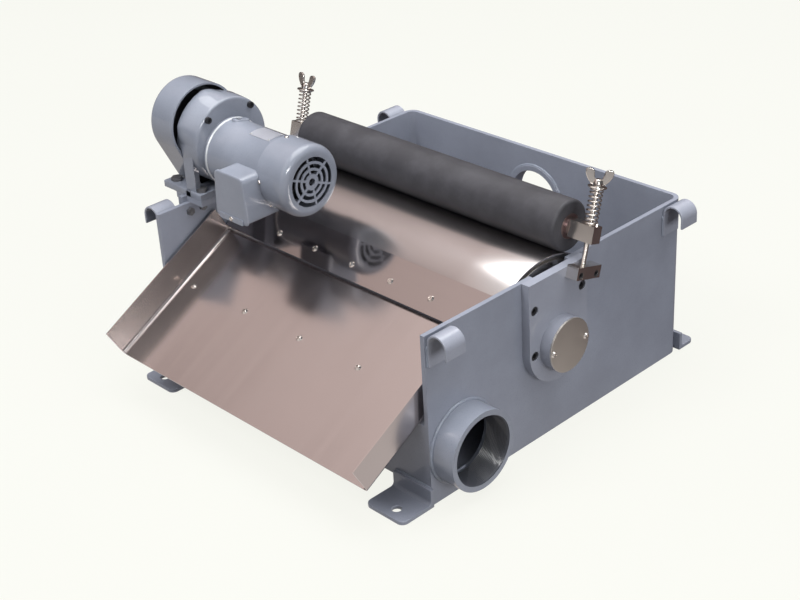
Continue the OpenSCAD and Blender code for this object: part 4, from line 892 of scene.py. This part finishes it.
def smooth_group():
    """Geometry nodes: smooth faces, with every edge steeper than 36 degrees kept hard."""
    group = bpy.data.node_groups.new("smooth_by_angle", "GeometryNodeTree")
    for way in ("INPUT", "OUTPUT"):
        group.interface.new_socket("Geometry", in_out=way, socket_type="NodeSocketGeometry")
    n = group.nodes
    start, end = n.new("NodeGroupInput"), n.new("NodeGroupOutput")
    faces, edges = n.new("GeometryNodeSetShadeSmooth"), n.new("GeometryNodeSetShadeSmooth")
    faces.domain, edges.domain = "FACE", "EDGE"
    angle, compare = n.new("GeometryNodeInputMeshEdgeAngle"), n.new("FunctionNodeCompare")
    compare.data_type, compare.operation = "FLOAT", "GREATER_THAN"
    compare.inputs["B"].default_value = math.radians(36)
    edges.inputs["Shade Smooth"].default_value = False
    link = group.links.new
    link(start.outputs[0], faces.inputs["Geometry"])
    link(faces.outputs[0], edges.inputs["Geometry"])
    link(angle.outputs["Unsigned Angle"], compare.inputs["A"])
    link(compare.outputs["Result"], edges.inputs["Selection"])
    link(edges.outputs[0], end.inputs[0])
    return group


def ease_nodes():
    """Broken edges and clean shading on the CAD nodes that show."""
    group = smooth_group()
    for name, obj in nodes.items():
        weld = obj.modifiers.new("weld", "WELD")
        weld.merge_threshold = 2e-6
        if name in BEVELS:
            flat = obj.modifiers.new("flat", "DECIMATE")
            flat.decimate_type = "DISSOLVE"
            flat.angle_limit = math.radians(0.4)
            mod = obj.modifiers.new("eased", "BEVEL")
            mod.width = BEVELS[name] * mm
            mod.segments = 3
            mod.limit_method = "ANGLE"
            mod.angle_limit = math.radians(42)
            mod.use_clamp_overlap = True
        smooth = obj.modifiers.new("smooth", "NODES")
        smooth.node_group = group
        if name in BEVELS:
            even = obj.modifiers.new("even", "WEIGHTED_NORMAL")
            even.keep_sharp = True


# Camera: the photograph's viewpoint, solved from the object's right angles

def add_camera():
    place = (1.2878, -1.22295, 1.0570)
    yaw, pitch, roll = math.radians(47.2416), math.radians(28.5098), math.radians(-3.4601)
    focal, photo_width, sensor_width = 1521.7, 800.0, 36.0
    forward = Vector((-math.sin(yaw) * math.cos(pitch), math.cos(yaw) * math.cos(pitch), -math.sin(pitch)))
    level = Vector((math.cos(yaw), math.sin(yaw), 0.0))
    upright = level.cross(forward)
    right = math.cos(roll) * level + math.sin(roll) * upright
    up = -math.sin(roll) * level + math.cos(roll) * upright
    data = bpy.data.cameras.new("camera")
    data.sensor_width = sensor_width
    data.lens = focal / photo_width * sensor_width
    data.clip_start = 0.05
    data.clip_end = 60.0
    camera = bpy.data.objects.new("camera", data)
    rotation = Matrix((right, up, -forward)).transposed().to_4x4()
    camera.matrix_world = Matrix.Translation(place) @ rotation
    bpy.context.scene.collection.objects.link(camera)
    bpy.context.scene.camera = camera


# Studio: what the world and the floor show depends on the kind of ray that meets them

def first_gloss(tree):
    """One for a reflection seen straight away, nothing for one that only lights a dull surface."""
    path = tree.nodes.new("ShaderNodeLightPath")
    node = tree.nodes.new("ShaderNodeMath")
    node.operation = "SUBTRACT"
    node.use_clamp = True
    tree.links.new(path.outputs["Is Glossy Ray"], node.inputs[0])
    tree.links.new(path.outputs["Diffuse Depth"], node.inputs[1])
    return node.outputs[0]


def add_world():
    """Plain light for the camera, soft light from above, and a bright left side in reflections."""
    world = bpy.data.worlds.new("studio")
    world.use_nodes = True
    tree = world.node_tree
    back = tree.nodes["Background"]
    back.inputs["Strength"].default_value = 1.0
    coord = tree.nodes.new("ShaderNodeTexCoord")
    split = tree.nodes.new("ShaderNodeSeparateXYZ")
    tree.links.new(coord.outputs["Generated"], split.inputs[0])
    lean = tree.nodes.new("ShaderNodeMath")
    lean.operation = "MULTIPLY_ADD"
    lean.inputs[1].default_value = 0.55
    tree.links.new(split.outputs["X"], lean.inputs[0])
    tree.links.new(split.outputs["Z"], lean.inputs[2])
    seen = ramp(tree, lean.outputs[0], [
        (0.0, (0.06, 0.048, 0.046)), (0.16, (0.10, 0.08, 0.075)), (0.28, (0.70, 0.58, 0.55)),
        (0.42, (0.86, 0.73, 0.70)), (0.75, (1.0, 0.98, 0.97))])
    seen = mix(tree, map_range(tree, split.outputs["X"], -0.10, 0.35), seen, (0.10, 0.10, 0.105))
    soft = ramp(tree, split.outputs["Z"], [
        (0.0, (0.12, 0.12, 0.125)), (0.30, (0.36, 0.365, 0.38)), (1.0, (0.78, 0.79, 0.81))])
    gloss = mix(tree, first_gloss(tree), (0.03, 0.028, 0.028), seen)
    path = tree.nodes.new("ShaderNodeLightPath")
    tone = mix(tree, path.outputs["Is Glossy Ray"], soft, gloss)
    tone = mix(tree, path.outputs["Is Camera Ray"], tone, (0.90, 0.905, 0.85))
    tree.links.new(tone, back.inputs["Color"])
    bpy.context.scene.world = world


def floor_material():
    """Paint that glows for the camera, and shows reflections a floor that darkens to the rear."""
    mat = bpy.data.materials.new("floor_paint")
    mat.use_nodes = True
    tree = mat.node_tree
    tree.nodes.clear()
    out = tree.nodes.new("ShaderNodeOutputMaterial")
    place = coordinates(tree)
    patches = noise(tree, place, 1.2, 2.0, 0.5)
    shade = ramp(tree, patches, [(0.3, (0.055, 0.055, 0.054)), (0.7, (0.06, 0.06, 0.059))])
    diffuse = tree.nodes.new("ShaderNodeBsdfDiffuse")
    tree.links.new(shade, diffuse.inputs["Color"])
    path = tree.nodes.new("ShaderNodeLightPath")
    unseen = mix(tree, path.outputs["Is Glossy Ray"], (0.015, 0.015, 0.016), (0.3, 0.28, 0.27))
    lit = mix(tree, path.outputs["Is Camera Ray"], unseen, (0.865, 0.868, 0.815))
    glow = tree.nodes.new("ShaderNodeEmission")
    tree.links.new(lit, glow.inputs["Color"])
    both = tree.nodes.new("ShaderNodeAddShader")
    tree.links.new(diffuse.outputs[0], both.inputs[0])
    tree.links.new(glow.outputs[0], both.inputs[1])
    where = tree.nodes.new("ShaderNodeSeparateXYZ")
    tree.links.new(place, where.inputs[0])
    ahead = map_range(tree, where.outputs["Y"], -0.15, 0.28)
    matte = tree.nodes.new("ShaderNodeEmission")
    tree.links.new(mix(tree, ahead, (0.66, 0.62, 0.60), (0.085, 0.062, 0.062)), matte.inputs["Color"])
    pick = tree.nodes.new("ShaderNodeMixShader")
    tree.links.new(first_gloss(tree), pick.inputs["Fac"])
    tree.links.new(both.outputs[0], pick.inputs[1])
    tree.links.new(matte.outputs[0], pick.inputs[2])
    tree.links.new(pick.outputs[0], out.inputs["Surface"])
    return mat


def add_floor():
    mesh = bpy.data.meshes.new("floor")
    r = 9.0
    mesh.from_pydata([(-r, -r, 0), (r, -r, 0), (r, r, 0), (-r, r, 0)], [], [(0, 1, 2, 3)])
    mesh.materials.append(floor_material())
    floor = bpy.data.objects.new("floor", mesh)
    floor.location.z = -0.0005
    bpy.context.scene.collection.objects.link(floor)


def add_area_light(name, place, target, size, power, diffuse=True, glossy=True):
    """Rectangular light aimed at a point; diffuse and glossy say which surfaces it lights."""
    data = bpy.data.lights.new(name, "AREA")
    data.shape = "RECTANGLE"
    data.size, data.size_y = size
    data.energy = power
    light = bpy.data.objects.new(name, data)
    light.location = place
    light.visible_diffuse = diffuse
    light.visible_glossy = glossy
    light.rotation_euler = (Vector(target) - Vector(place)).to_track_quat("-Z", "Y").to_euler()
    bpy.context.scene.collection.objects.link(light)


def add_lights():
    add_area_light("key", (-0.6, -2.3, 3.0), (0, 0, 0.15), (1.8, 1.2), 78, glossy=False)
    add_area_light("top", (0.2, 0.4, 2.8), (0, 0, 0.1), (2.6, 2.6), 78)
    add_area_light("side", (3.2, -0.3, 0.7), (0, 0, 0.15), (1.6, 1.0), 40, glossy=False)
    add_area_light("window", (2.4, -1.35, 1.46), (0, 0, 0.2), (1.3, 0.55), 42, diffuse=False)


finish_nodes()
ease_nodes()
bent_chute()
turned_drum()
rubber_roller()
for side in SIDES:
    halves = [coil(side, "low"), coil(side, "high")]
    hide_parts("spring_" + side)
    threaded_rod(side)
    wing_nut(side)
turned_motor()
motor_plate()
motor_pad()
terminal_box()
round_heads("chute_screws", CHUTE_TURN, 4.3)
cover_screws()
outlet_thread()
all_welds()
gear_case()
gear_case_boss()
gear_case_feet()
for side in SIDES:
    spring_washer(side)

bpy.context.scene.view_settings.view_transform = "Standard"
bpy.context.scene.view_settings.look = "None"
add_camera()
add_world()
add_floor()
add_lights()
